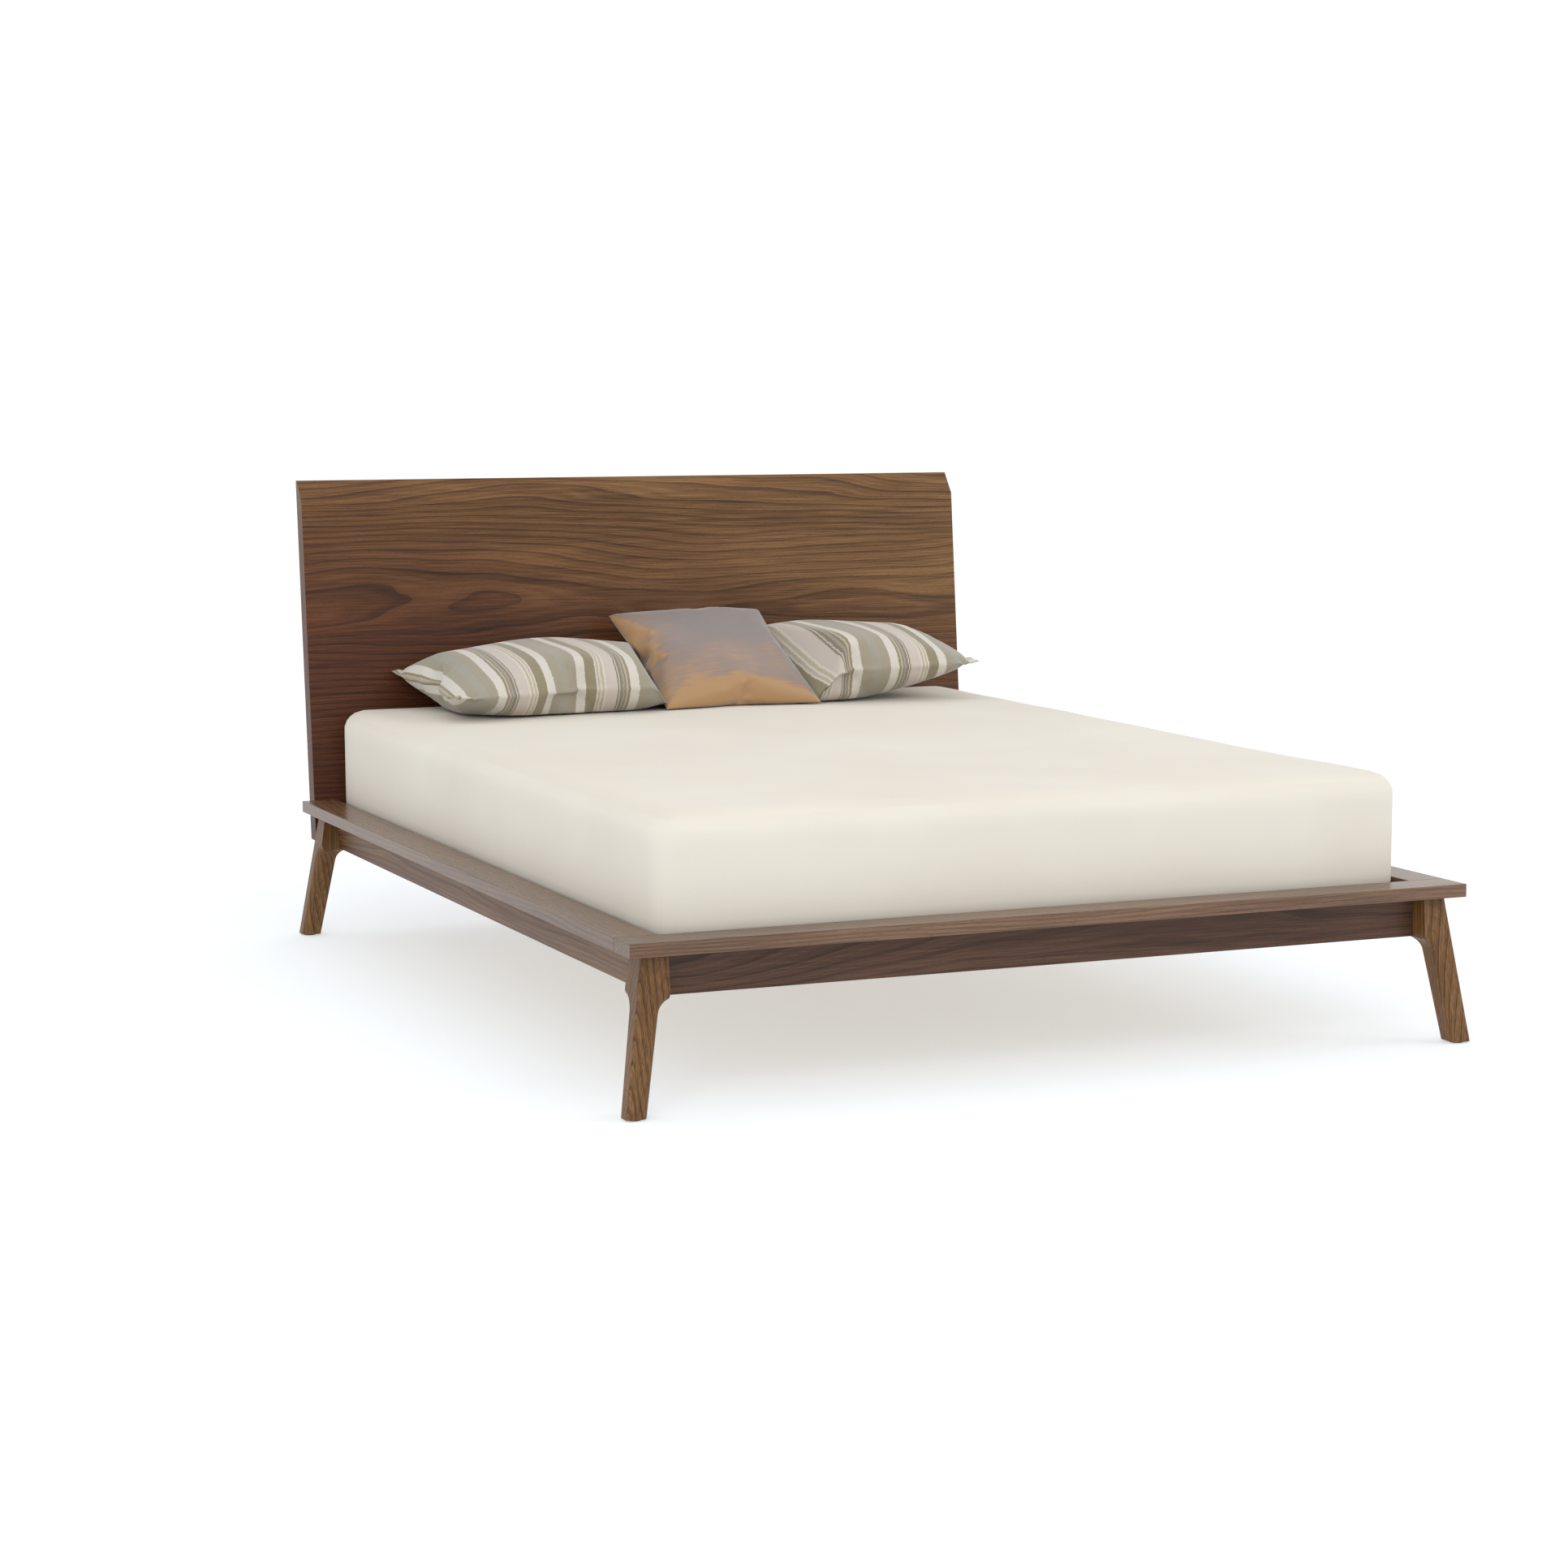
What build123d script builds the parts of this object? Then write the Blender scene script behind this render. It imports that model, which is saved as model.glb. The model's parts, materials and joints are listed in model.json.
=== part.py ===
"""Walnut platform bed: leaning panel headboard, wide ledge round the mattress, splayed legs.

Frame: +X across the bed, to the right as seen from the foot, +Y from the foot to the
headboard, +Z up. The origin is on the floor, at the middle of the whole bed's outline.
Millimetres throughout.
"""
import math
import os

from build123d import *

# ---------------------------------------------------------------- driving dimensions
# Mattress
mattress_width = 1524.0
mattress_length = 1981.0
mattress_height = 235.0
mattress_corner_radius = 38.0  # in plan
mattress_top_radius = 34.0     # round the top edge
mattress_side_gap = 6.0        # to the side ledges' inner edges
mattress_foot_gap = 9.0        # to the foot ledge's inner edge
mattress_head_gap = 7.0        # to the headboard, at the mattress's underside
mattress_rest_gap = 0.4        # above the slats

# Ledge that frames the mattress
ledge_height = 304.0           # floor to the ledge's top
ledge_thickness = 25.0
ledge_board_width = 77.0
ledge_head_clearance = 1.0     # between the side ledges' ends and the headboard
ledge_arris = 1.5

# Rails under the ledge
rail_height = 79.0
rail_thickness = 20.0
rail_inset = 60.0              # ledge's edge to the rails' outer faces
rail_arris = 1.5
side_rail_bevel_height = 26.0  # lower third of the side rails, bevelled under
side_rail_bevel_depth = 8.0

# Legs
leg_foot_size = 40.0
leg_top_size = 46.0
leg_floor_overhang = 11.0      # how far a foot stands outside the ledge's edge
leg_top_inset_side = 31.0      # side ledge's edge to the leg's outer face, under the ledge
leg_top_inset_end = 25.0       # end ledge's edge to the leg's outer face, under the ledge
leg_bracket_height = 25.0      # height of the curve that runs into the rail
leg_outer_radius = 7.0
leg_inner_radius = 13.0
glide_thickness = 3.0
glide_radius = 13.0

# Slats and what carries them
slat_count = 14
slat_width = 68.0
slat_thickness = 18.0
slat_end_clearance = 1.5
slat_arris = 1.5
cleat_width = 22.0
cleat_height = 28.0
cleat_end_gap = 150.0          # clear of the corner plates
beam_width = 40.0
beam_height = 56.0
centre_leg_size = 45.0
centre_leg_chamfer = 3.0
centre_leg_shares = (0.526, 0.767)     # of the way from the foot ledge to the headboard

# Headboard
headboard_height = 1020.0      # floor to its top edge
headboard_side_inset = 29.0    # side ledges' outer edges to the headboard's ends
headboard_thickness = 40.0
headboard_lean = 5.7           # degrees back from upright
headboard_bottom = 212.0       # floor to its lower edge
headboard_bevel_height = 48.5
headboard_bevel_depth = 37.0
headboard_arris = 2.0
bracket_width = 90.0
bracket_bottom = 214.0
bracket_height = 56.0
bracket_inset = 256.0          # headboard's ends to the brackets' middles
bracket_bolt_spacing = 44.0

# Steelwork and fasteners
plate_thickness = 3.0
plate_height = 46.0
plate_reach = 84.0             # along each rail from the corner to the plate's bend
plate_flange = 44.0
plate_screw_from_bend = 24.0
plate_screw_spacing = 26.0
corner_drop = 5.0              # leg bolts and plates, below the rails' middle
hanger_thickness = 2.0
hanger_length = 55.0
hanger_back_width = 80.0
bolt_radius = 4.0
bolt_clearance = 0.3
nut_across_flats = 13.0
nut_height = 6.5
screw_radius = 2.0
screw_head_radius = 4.0
screw_head_height = 2.2
screw_clearance = 0.1
hole_end_clearance = 1.0       # a blind hole's depth beyond its screw
screw_edge_distance = 12.0     # from a cleat's end
leg_bolt_in_leg = 40.0
leg_bolt_tail = 22.0           # thread left standing inside the corner plate
headboard_bolt_in_panel = 24.0
plate_screw_length = 16.0
slat_screw_length = 40.0
cleat_screw_count = 5

# Bedding
pillow_length = 620.0
pillow_width = 385.0
left_pillow_height = 152.0
right_pillow_height = 172.0
pillow_gap = 1.0               # above the mattress
pillow_nip_height = 15.0       # a pillow's edge where the cushion starts to press it down
pillow_corner_share = 0.12     # corner radius over width
# Share of the height, and how far the outline draws in there as a share of the width.
pillow_sections = ((0.0, 0.48), (0.22, 0.19), (0.5, 0.0), (0.78, 0.19), (1.0, 0.48))
pillow_back_gap = 20.0         # behind the pillows' middles, to the headboard
left_pillow_x = -315.0
right_pillow_x = 345.0
cushion_width = 392.0
cushion_length = 372.0
cushion_thickness = 104.0
cushion_lean = 31.0            # degrees from flat
cushion_gap = 1.0              # to the pillows below it
cushion_x = 100.0
cushion_from_headboard = 181.0 # its middle to the headboard, at the mattress's underside
cushion_rise = 109.0           # its middle above the mattress's top

# ---------------------------------------------------------------- worked out from those
platform_z = ledge_height - ledge_thickness        # top of the rails and slats
rail_bottom = platform_z - rail_height
slat_bottom = platform_z - slat_thickness
mattress_bottom = platform_z + mattress_rest_gap
mattress_top = mattress_bottom + mattress_height

ledge_width = mattress_width + 2 * (mattress_side_gap + ledge_board_width)
ledge_side_x = ledge_width / 2
box_x = ledge_side_x - rail_inset                  # side rails' outer faces
box_inner_x = box_x - rail_thickness
headboard_width = ledge_width - 2 * headboard_side_inset
bracket_x = headboard_width / 2 - bracket_inset

lean_slope = math.tan(math.radians(headboard_lean))
headboard_level_thickness = headboard_thickness / math.cos(math.radians(headboard_lean))
panel_face_from_foot = (
    ledge_board_width + mattress_foot_gap + mattress_length + mattress_head_gap
)
panel_back_from_foot = (
    panel_face_from_foot
    + (headboard_height - platform_z) * lean_slope
    + headboard_level_thickness
)
overall_depth = leg_floor_overhang + panel_back_from_foot
foot_y = leg_floor_overhang - overall_depth / 2    # foot ledge's outer edge
head_y = foot_y + panel_face_from_foot - ledge_head_clearance   # side ledges' far ends
box_middle_y = (foot_y + head_y) / 2
foot_rail_y = foot_y + rail_inset                  # foot rail's outer face
head_rail_y = head_y - rail_inset                  # head rail's outer face
foot_inner_y = foot_rail_y + rail_thickness
head_inner_y = head_rail_y - rail_thickness
leg_head_depth = rail_inset + rail_thickness       # ledge's edge to the legs' inner faces
corner_z = rail_bottom + rail_height / 2 - corner_drop

HEAD_END = Plane(origin=(0, box_middle_y, 0), z_dir=(0, 1, 0))   # mirrors foot to head


def panel_face_y(z):
    """y of the headboard's front face at height z."""
    return foot_y + panel_face_from_foot + (z - platform_z) * lean_slope


os.makedirs("parts", exist_ok=True)

# ---------------------------------------------------------------- ledge boards
with BuildPart() as foot_ledge:
    with BuildSketch(Plane.XY.offset(platform_z)):
        with Locations((0, foot_y + ledge_board_width / 2)):
            Rectangle(ledge_width, ledge_board_width)
    extrude(amount=ledge_thickness)
    fillet(foot_ledge.edges(), radius=ledge_arris)
foot_ledge.part.label = "foot_ledge"
export_step(foot_ledge.part, "parts/foot_ledge.step")

side_ledge_start = foot_y + ledge_board_width
with BuildPart() as left_ledge:
    with BuildSketch(Plane.XY.offset(platform_z)):
        with Locations((-ledge_side_x + ledge_board_width / 2, (side_ledge_start + head_y) / 2)):
            Rectangle(ledge_board_width, head_y - side_ledge_start)
    extrude(amount=ledge_thickness)
    fillet(left_ledge.edges(), radius=ledge_arris)
left_ledge.part.label = "left_ledge"
export_step(left_ledge.part, "parts/left_ledge.step")

with BuildPart() as right_ledge:
    mirror(left_ledge.part, about=Plane.YZ)
right_ledge.part.label = "right_ledge"
export_step(right_ledge.part, "parts/right_ledge.step")


# ---------------------------------------------------------------- rails
def cut_leg_bolt_holes():
    """Cut the clearance for the four diagonal leg bolts from the piece being built."""
    for side in (-1, 1):
        for end, corner_y in ((-1, foot_inner_y), (1, head_inner_y)):
            axis = Plane(origin=(side * box_inner_x, corner_y, corner_z), z_dir=(side, end, 0))
            with BuildSketch(axis) as hole:
                Circle(bolt_radius + bolt_clearance)
            extrude(hole.sketch, amount=leg_bolt_in_leg, both=True, mode=Mode.SUBTRACT)


def cut_plate_screw_holes():
    """Cut the pilot holes for the corner plates' screws from the piece being built."""
    for side in (-1, 1):
        for end, corner_y in ((-1, foot_inner_y), (1, head_inner_y)):
            for axis in plate_screw_axes(side, end, corner_y):
                with BuildSketch(axis) as hole:
                    Circle(screw_radius + screw_clearance)
                extrude(hole.sketch, amount=plate_screw_length + hole_end_clearance, mode=Mode.SUBTRACT)


def plate_screw_axes(side, end, corner_y):
    """Planes on a corner plate's two flanges, one for each screw, pointing into the rails."""
    along = plate_reach + plate_screw_from_bend
    axes = []
    for level in (-1, 1):
        z = corner_z + level * plate_screw_spacing / 2
        on_end_rail = (side * (box_inner_x - along), corner_y - end * plate_thickness, z)
        on_side_rail = (side * (box_inner_x - plate_thickness), corner_y - end * along, z)
        axes.append(Plane(origin=on_end_rail, z_dir=(0, end, 0)))
        axes.append(Plane(origin=on_side_rail, z_dir=(side, 0, 0)))
    return axes


with BuildPart() as foot_rail:
    with BuildSketch(Plane.XY.offset(rail_bottom)):
        with Locations((0, foot_rail_y + rail_thickness / 2)):
            Rectangle(2 * box_inner_x, rail_thickness)
    extrude(amount=rail_height)
    bottom_edges = foot_rail.faces().sort_by(Axis.Z)[0].edges().filter_by(Axis.X)
    fillet(bottom_edges, radius=rail_arris)
    cut_leg_bolt_holes()
    cut_plate_screw_holes()
foot_rail.part.label = "foot_rail"
export_step(foot_rail.part, "parts/foot_rail.step")

bracket_bolt_z = bracket_bottom + bracket_height / 2
bracket_bolt_x = [
    side * bracket_x + shift * bracket_bolt_spacing / 2
    for side in (-1, 1)
    for shift in (-1, 1)
]

with BuildPart() as head_rail:
    mirror(foot_rail.part, about=HEAD_END)
    for x in bracket_bolt_x:
        with BuildSketch(Plane(origin=(x, head_inner_y, bracket_bolt_z), z_dir=(0, 1, 0))):
            Circle(bolt_radius + bolt_clearance)
        extrude(amount=rail_thickness, mode=Mode.SUBTRACT)
head_rail.part.label = "head_rail"
export_step(head_rail.part, "parts/head_rail.step")

# A side rail's section: plain above, its lower third bevelled under the bed.
with BuildPart() as left_side_rail:
    with BuildSketch(Plane(origin=(0, foot_inner_y, 0), x_dir=(1, 0, 0), z_dir=(0, -1, 0))):
        with BuildLine():
            Polyline(
                (-box_inner_x, platform_z),
                (-box_x, platform_z),
                (-box_x, rail_bottom + side_rail_bevel_height),
                (-box_x + side_rail_bevel_depth, rail_bottom),
                (-box_inner_x, rail_bottom),
                close=True,
            )
        make_face()
    extrude(amount=-(head_inner_y - foot_inner_y))
    cut_leg_bolt_holes()
    cut_plate_screw_holes()
left_side_rail.part.label = "left_side_rail"
export_step(left_side_rail.part, "parts/left_side_rail.step")

with BuildPart() as right_side_rail:
    mirror(left_side_rail.part, about=Plane.YZ)
right_side_rail.part.label = "right_side_rail"
export_step(right_side_rail.part, "parts/right_side_rail.step")


# ---------------------------------------------------------------- legs
def leg_rise_share(z):
    """How far up the leg height z is, from 0 at its foot to 1 under the ledge."""
    return (z - glide_thickness) / (platform_z - glide_thickness)


leg_blank = 2 * leg_head_depth                     # deep enough for a leg's whole reach


def draw_leg_outline(top_inset):
    """Draw one view of a leg. x runs inwards from the ledge's edge and y is the height."""
    inner_foot = leg_foot_size - leg_floor_overhang
    inner_top = top_inset + leg_top_size
    bracket_z = rail_bottom - leg_bracket_height
    bracket_in = inner_foot + (inner_top - inner_foot) * leg_rise_share(bracket_z)
    with BuildLine() as outline:
        Polyline(
            (leg_head_depth, rail_bottom),
            (leg_head_depth, platform_z),
            (top_inset, platform_z),
            (-leg_floor_overhang, glide_thickness),
            (inner_foot, glide_thickness),
            (bracket_in, bracket_z),
        )
        TangentArc(
            (bracket_in, bracket_z),
            (leg_head_depth, rail_bottom),
            tangent=(inner_top - inner_foot, platform_z - glide_thickness),
        )
    make_face(outline.edges())


def leg_point(side_in, end_in, z):
    """A point at the foot left corner, from its distances inwards and its height."""
    return Vector(-ledge_side_x + side_in, foot_y + end_in, z)


leg_middle_z = (glide_thickness + rail_bottom) / 2
middle_share = leg_rise_share(leg_middle_z)
outer_side_in = -leg_floor_overhang + (leg_top_inset_side + leg_floor_overhang) * middle_share
outer_end_in = -leg_floor_overhang + (leg_top_inset_end + leg_floor_overhang) * middle_share
leg_middle_size = leg_foot_size + (leg_top_size - leg_foot_size) * middle_share

with BuildPart() as foot_left_leg:
    with BuildSketch(Plane(origin=leg_point(0, 0, 0), x_dir=(1, 0, 0), z_dir=(0, -1, 0))):
        draw_leg_outline(leg_top_inset_side)
    extrude(amount=leg_blank, both=True)
    with BuildSketch(Plane(origin=leg_point(0, 0, 0), x_dir=(0, 1, 0), z_dir=(1, 0, 0))):
        draw_leg_outline(leg_top_inset_end)
    extrude(amount=leg_blank, both=True, mode=Mode.INTERSECT)
    outer_arris = foot_left_leg.edges().sort_by_distance(
        leg_point(outer_side_in, outer_end_in, leg_middle_z)
    )[0]
    inner_arrises = [
        foot_left_leg.edges().sort_by_distance(
            leg_point(outer_side_in + leg_middle_size, outer_end_in, leg_middle_z)
        )[0],
        foot_left_leg.edges().sort_by_distance(
            leg_point(outer_side_in, outer_end_in + leg_middle_size, leg_middle_z)
        )[0],
    ]
    fillet([outer_arris], radius=leg_outer_radius)
    fillet(inner_arrises, radius=leg_inner_radius)
    cut_leg_bolt_holes()
foot_left_leg.part.label = "foot_left_leg"
export_step(foot_left_leg.part, "parts/foot_left_leg.step")

with BuildPart() as foot_right_leg:
    mirror(foot_left_leg.part, about=Plane.YZ)
foot_right_leg.part.label = "foot_right_leg"
export_step(foot_right_leg.part, "parts/foot_right_leg.step")

with BuildPart() as head_left_leg:
    mirror(foot_left_leg.part, about=HEAD_END)
head_left_leg.part.label = "head_left_leg"
export_step(head_left_leg.part, "parts/head_left_leg.step")

with BuildPart() as head_right_leg:
    mirror(foot_right_leg.part, about=HEAD_END)
head_right_leg.part.label = "head_right_leg"
export_step(head_right_leg.part, "parts/head_right_leg.step")

glide_x = ledge_side_x + leg_floor_overhang - leg_foot_size / 2
glide_y = (foot_y - leg_floor_overhang + leg_foot_size / 2, head_y + leg_floor_overhang - leg_foot_size / 2)
with BuildPart() as leg_glides:
    with BuildSketch(Plane.XY):
        with Locations([(side * glide_x, y) for side in (-1, 1) for y in glide_y]):
            Circle(glide_radius)
    extrude(amount=glide_thickness)
leg_glides.part.label = "leg_glides"
export_step(leg_glides.part, "parts/leg_glides.step")

# ---------------------------------------------------------------- corner plates and leg bolts
with BuildPart() as foot_left_corner_plate:
    with BuildSketch(Plane.XY.offset(corner_z - plate_height / 2)):
        with BuildLine():
            inner_bend = plate_reach + plate_thickness * (math.sqrt(2) - 1)
            Polyline(
                (-box_inner_x + plate_reach + plate_flange, foot_inner_y),
                (-box_inner_x + plate_reach, foot_inner_y),
                (-box_inner_x, foot_inner_y + plate_reach),
                (-box_inner_x, foot_inner_y + plate_reach + plate_flange),
                (-box_inner_x + plate_thickness, foot_inner_y + plate_reach + plate_flange),
                (-box_inner_x + plate_thickness, foot_inner_y + inner_bend),
                (-box_inner_x + inner_bend, foot_inner_y + plate_thickness),
                (-box_inner_x + plate_reach + plate_flange, foot_inner_y + plate_thickness),
                close=True,
            )
        make_face()
    extrude(amount=plate_height)
    plate_axis = Plane(origin=(-box_inner_x, foot_inner_y, corner_z), z_dir=(1, 1, 0))
    with BuildSketch(plate_axis):
        Circle(bolt_radius + bolt_clearance)
    extrude(amount=plate_reach, mode=Mode.SUBTRACT)
    for screw_axis in plate_screw_axes(-1, -1, foot_inner_y):
        with BuildSketch(screw_axis):
            Circle(screw_radius + screw_clearance)
        extrude(amount=plate_thickness, mode=Mode.SUBTRACT)
foot_left_corner_plate.part.label = "foot_left_corner_plate"
export_step(foot_left_corner_plate.part, "parts/foot_left_corner_plate.step")

with BuildPart() as foot_right_corner_plate:
    mirror(foot_left_corner_plate.part, about=Plane.YZ)
foot_right_corner_plate.part.label = "foot_right_corner_plate"
export_step(foot_right_corner_plate.part, "parts/foot_right_corner_plate.step")

with BuildPart() as head_left_corner_plate:
    mirror(foot_left_corner_plate.part, about=HEAD_END)
head_left_corner_plate.part.label = "head_left_corner_plate"
export_step(head_left_corner_plate.part, "parts/head_left_corner_plate.step")

with BuildPart() as head_right_corner_plate:
    mirror(foot_right_corner_plate.part, about=HEAD_END)
head_right_corner_plate.part.label = "head_right_corner_plate"
export_step(head_right_corner_plate.part, "parts/head_right_corner_plate.step")

# From a leg's inner corner to the inner face of its plate, along the bolt.
plate_inner_distance = plate_reach / math.sqrt(2) + plate_thickness
with BuildPart() as leg_bolts:
    for side in (-1, 1):
        for end, corner_y in ((-1, foot_inner_y), (1, head_inner_y)):
            axis = Plane(origin=(side * box_inner_x, corner_y, corner_z), z_dir=(-side, -end, 0))
            with BuildSketch(axis.offset(-leg_bolt_in_leg)):
                Circle(bolt_radius)
            extrude(amount=leg_bolt_in_leg + plate_inner_distance + leg_bolt_tail)
leg_bolts.part.label = "leg_bolts"
export_step(leg_bolts.part, "parts/leg_bolts.step")

with BuildPart() as leg_nuts:
    for side in (-1, 1):
        for end, corner_y in ((-1, foot_inner_y), (1, head_inner_y)):
            axis = Plane(origin=(side * box_inner_x, corner_y, corner_z), z_dir=(-side, -end, 0))
            with BuildSketch(axis.offset(plate_inner_distance)):
                RegularPolygon(nut_across_flats / 2, 6, major_radius=False)
                Circle(bolt_radius + screw_clearance, mode=Mode.SUBTRACT)
            extrude(amount=nut_height)
leg_nuts.part.label = "leg_nuts"
export_step(leg_nuts.part, "parts/leg_nuts.step")

with BuildPart() as plate_screws:
    for side in (-1, 1):
        for end, corner_y in ((-1, foot_inner_y), (1, head_inner_y)):
            for axis in plate_screw_axes(side, end, corner_y):
                with BuildSketch(axis):
                    Circle(screw_radius)
                extrude(amount=plate_screw_length)
                with BuildSketch(axis):
                    Circle(screw_head_radius)
                extrude(amount=-screw_head_height)
plate_screws.part.label = "plate_screws"
export_step(plate_screws.part, "parts/plate_screws.step")

# ---------------------------------------------------------------- slats, cleats and beam
cleat_start = foot_inner_y + cleat_end_gap
cleat_end = head_inner_y - cleat_end_gap
slat_pitch = (head_inner_y - foot_inner_y) / slat_count
slat_y = [foot_inner_y + slat_pitch * (place + 0.5) for place in range(slat_count)]
slat_screw_x = box_inner_x - cleat_width / 2
slat_screw_places = [
    (side * slat_screw_x, y)
    for y in slat_y
    for side in (-1, 1)
    if cleat_start + screw_edge_distance < y < cleat_end - screw_edge_distance
]
cleat_screw_z = slat_bottom - cleat_height / 2
cleat_screw_y = [
    cleat_start + (cleat_end - cleat_start) * (place + 0.5) / cleat_screw_count
    for place in range(cleat_screw_count)
]

with BuildPart() as left_slat_cleat:
    with BuildSketch(Plane.XY.offset(slat_bottom - cleat_height)):
        with Locations((-box_inner_x + cleat_width / 2, (cleat_start + cleat_end) / 2)):
            Rectangle(cleat_width, cleat_end - cleat_start)
    extrude(amount=cleat_height)
    with BuildSketch(Plane.XY.offset(slat_bottom)):
        with Locations([place for place in slat_screw_places if place[0] < 0]):
            Circle(screw_radius + screw_clearance)
    extrude(amount=slat_thickness - slat_screw_length - hole_end_clearance, mode=Mode.SUBTRACT)
    for y in cleat_screw_y:
        with BuildSketch(Plane(origin=(-box_inner_x, y, cleat_screw_z), z_dir=(1, 0, 0))):
            Circle(screw_radius + screw_clearance)
        extrude(amount=cleat_width, mode=Mode.SUBTRACT)
left_slat_cleat.part.label = "left_slat_cleat"
export_step(left_slat_cleat.part, "parts/left_slat_cleat.step")

with BuildPart() as right_slat_cleat:
    mirror(left_slat_cleat.part, about=Plane.YZ)
right_slat_cleat.part.label = "right_slat_cleat"
export_step(right_slat_cleat.part, "parts/right_slat_cleat.step")

for number, y in enumerate(slat_y, start=1):
    with BuildPart() as slat:
        with BuildSketch(Plane.XY.offset(slat_bottom)):
            with Locations((0, y)):
                Rectangle(2 * (box_inner_x - slat_end_clearance), slat_width)
        extrude(amount=slat_thickness)
        chamfer(slat.edges().filter_by(Axis.X), length=slat_arris)
        screw_places = [place for place in slat_screw_places if place[1] == y]
        if screw_places:
            with Locations(*[(x, screw_y, platform_z) for x, screw_y in screw_places]):
                CounterSinkHole(
                    radius=screw_radius + screw_clearance,
                    counter_sink_radius=screw_head_radius + screw_clearance,
                    depth=slat_thickness,
                )
    slat.part.label = f"slat_{number:02d}"
    export_step(slat.part, f"parts/slat_{number:02d}.step")

with BuildPart() as slat_screws:
    with BuildSketch(Plane.XY.offset(platform_z)):
        with Locations(slat_screw_places):
            Circle(screw_radius)
    extrude(amount=-slat_screw_length)
    for x, y in slat_screw_places:
        head_bottom = platform_z - (screw_head_radius - screw_radius)
        with Locations((x, y, (head_bottom + platform_z) / 2)):
            Cone(screw_radius, screw_head_radius, platform_z - head_bottom)
slat_screws.part.label = "slat_screws"
export_step(slat_screws.part, "parts/slat_screws.step")

with BuildPart() as cleat_screws:
    for side in (-1, 1):
        for y in cleat_screw_y:
            head_x = side * (box_inner_x - cleat_width)
            axis = Plane(origin=(head_x, y, cleat_screw_z), z_dir=(side, 0, 0))
            with BuildSketch(axis):
                Circle(screw_radius)
            extrude(amount=cleat_width)
            with BuildSketch(axis):
                Circle(screw_head_radius)
            extrude(amount=-screw_head_height)
cleat_screws.part.label = "cleat_screws"
export_step(cleat_screws.part, "parts/cleat_screws.step")

beam_bottom = slat_bottom - beam_height
beam_start = foot_inner_y + hanger_thickness
beam_end = head_inner_y - hanger_thickness
with BuildPart() as centre_beam:
    with BuildSketch(Plane.XY.offset(beam_bottom)):
        with Locations((0, (beam_start + beam_end) / 2)):
            Rectangle(beam_width, beam_end - beam_start)
    extrude(amount=beam_height)
centre_beam.part.label = "centre_beam"
export_step(centre_beam.part, "parts/centre_beam.step")

# A pressed steel hanger holds each end of the beam: a back plate, a seat and two cheeks.
with BuildPart() as foot_beam_hanger:
    with BuildSketch(Plane(origin=(0, foot_inner_y, 0), x_dir=(-1, 0, 0), z_dir=(0, 1, 0))):
        with Locations((0, beam_bottom - hanger_thickness + beam_height / 2)):
            Rectangle(hanger_back_width, beam_height)
    extrude(amount=hanger_thickness)
    with BuildSketch(Plane(origin=(0, beam_start, 0), x_dir=(-1, 0, 0), z_dir=(0, 1, 0))):
        with Locations((0, beam_bottom - hanger_thickness + beam_height / 2)):
            Rectangle(beam_width + 2 * hanger_thickness, beam_height)
        with Locations((0, beam_bottom + beam_height / 2)):
            Rectangle(beam_width, beam_height, mode=Mode.SUBTRACT)
    extrude(amount=hanger_length)
foot_beam_hanger.part.label = "foot_beam_hanger"
export_step(foot_beam_hanger.part, "parts/foot_beam_hanger.step")

with BuildPart() as head_beam_hanger:
    mirror(foot_beam_hanger.part, about=HEAD_END)
head_beam_hanger.part.label = "head_beam_hanger"
export_step(head_beam_hanger.part, "parts/head_beam_hanger.step")

centre_leg_y = [foot_y + share * (head_y - foot_y) for share in centre_leg_shares]
for name, y in zip(("foot_centre_leg", "head_centre_leg"), centre_leg_y):
    with BuildPart() as centre_leg:
        with BuildSketch(Plane.XY.offset(glide_thickness)):
            with Locations((0, y)):
                Rectangle(centre_leg_size, centre_leg_size)
        extrude(amount=beam_bottom - glide_thickness)
        chamfer(centre_leg.edges().filter_by(Axis.Z), length=centre_leg_chamfer)
    centre_leg.part.label = name
    export_step(centre_leg.part, f"parts/{name}.step")

with BuildPart() as centre_leg_glides:
    with BuildSketch(Plane.XY):
        with Locations([(0, y) for y in centre_leg_y]):
            Circle(glide_radius)
    extrude(amount=glide_thickness)
centre_leg_glides.part.label = "centre_leg_glides"
export_step(centre_leg_glides.part, "parts/centre_leg_glides.step")

# ---------------------------------------------------------------- headboard
bevel_z = headboard_height - headboard_bevel_height
bracket_bolt_length = panel_face_y(bracket_bolt_z) - head_inner_y + headboard_bolt_in_panel
with BuildPart() as headboard_panel:
    with BuildSketch(Plane(origin=(-headboard_width / 2, 0, 0), x_dir=(0, 1, 0), z_dir=(1, 0, 0))):
        with BuildLine():
            Polyline(
                (panel_face_y(headboard_bottom), headboard_bottom),
                (panel_face_y(bevel_z), bevel_z),
                (panel_face_y(bevel_z) + headboard_bevel_depth, headboard_height),
                (panel_face_y(headboard_height) + headboard_level_thickness, headboard_height),
                (panel_face_y(headboard_bottom) + headboard_level_thickness, headboard_bottom),
                close=True,
            )
        make_face()
    extrude(amount=headboard_width)
    fillet(headboard_panel.edges().filter_by(Axis.X), radius=headboard_arris)
    for x in bracket_bolt_x:
        with BuildSketch(Plane(origin=(x, head_inner_y, bracket_bolt_z), z_dir=(0, 1, 0))):
            Circle(bolt_radius + screw_clearance)
        extrude(amount=bracket_bolt_length + hole_end_clearance, mode=Mode.SUBTRACT)
headboard_panel.part.label = "headboard_panel"
export_step(headboard_panel.part, "parts/headboard_panel.step")

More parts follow.
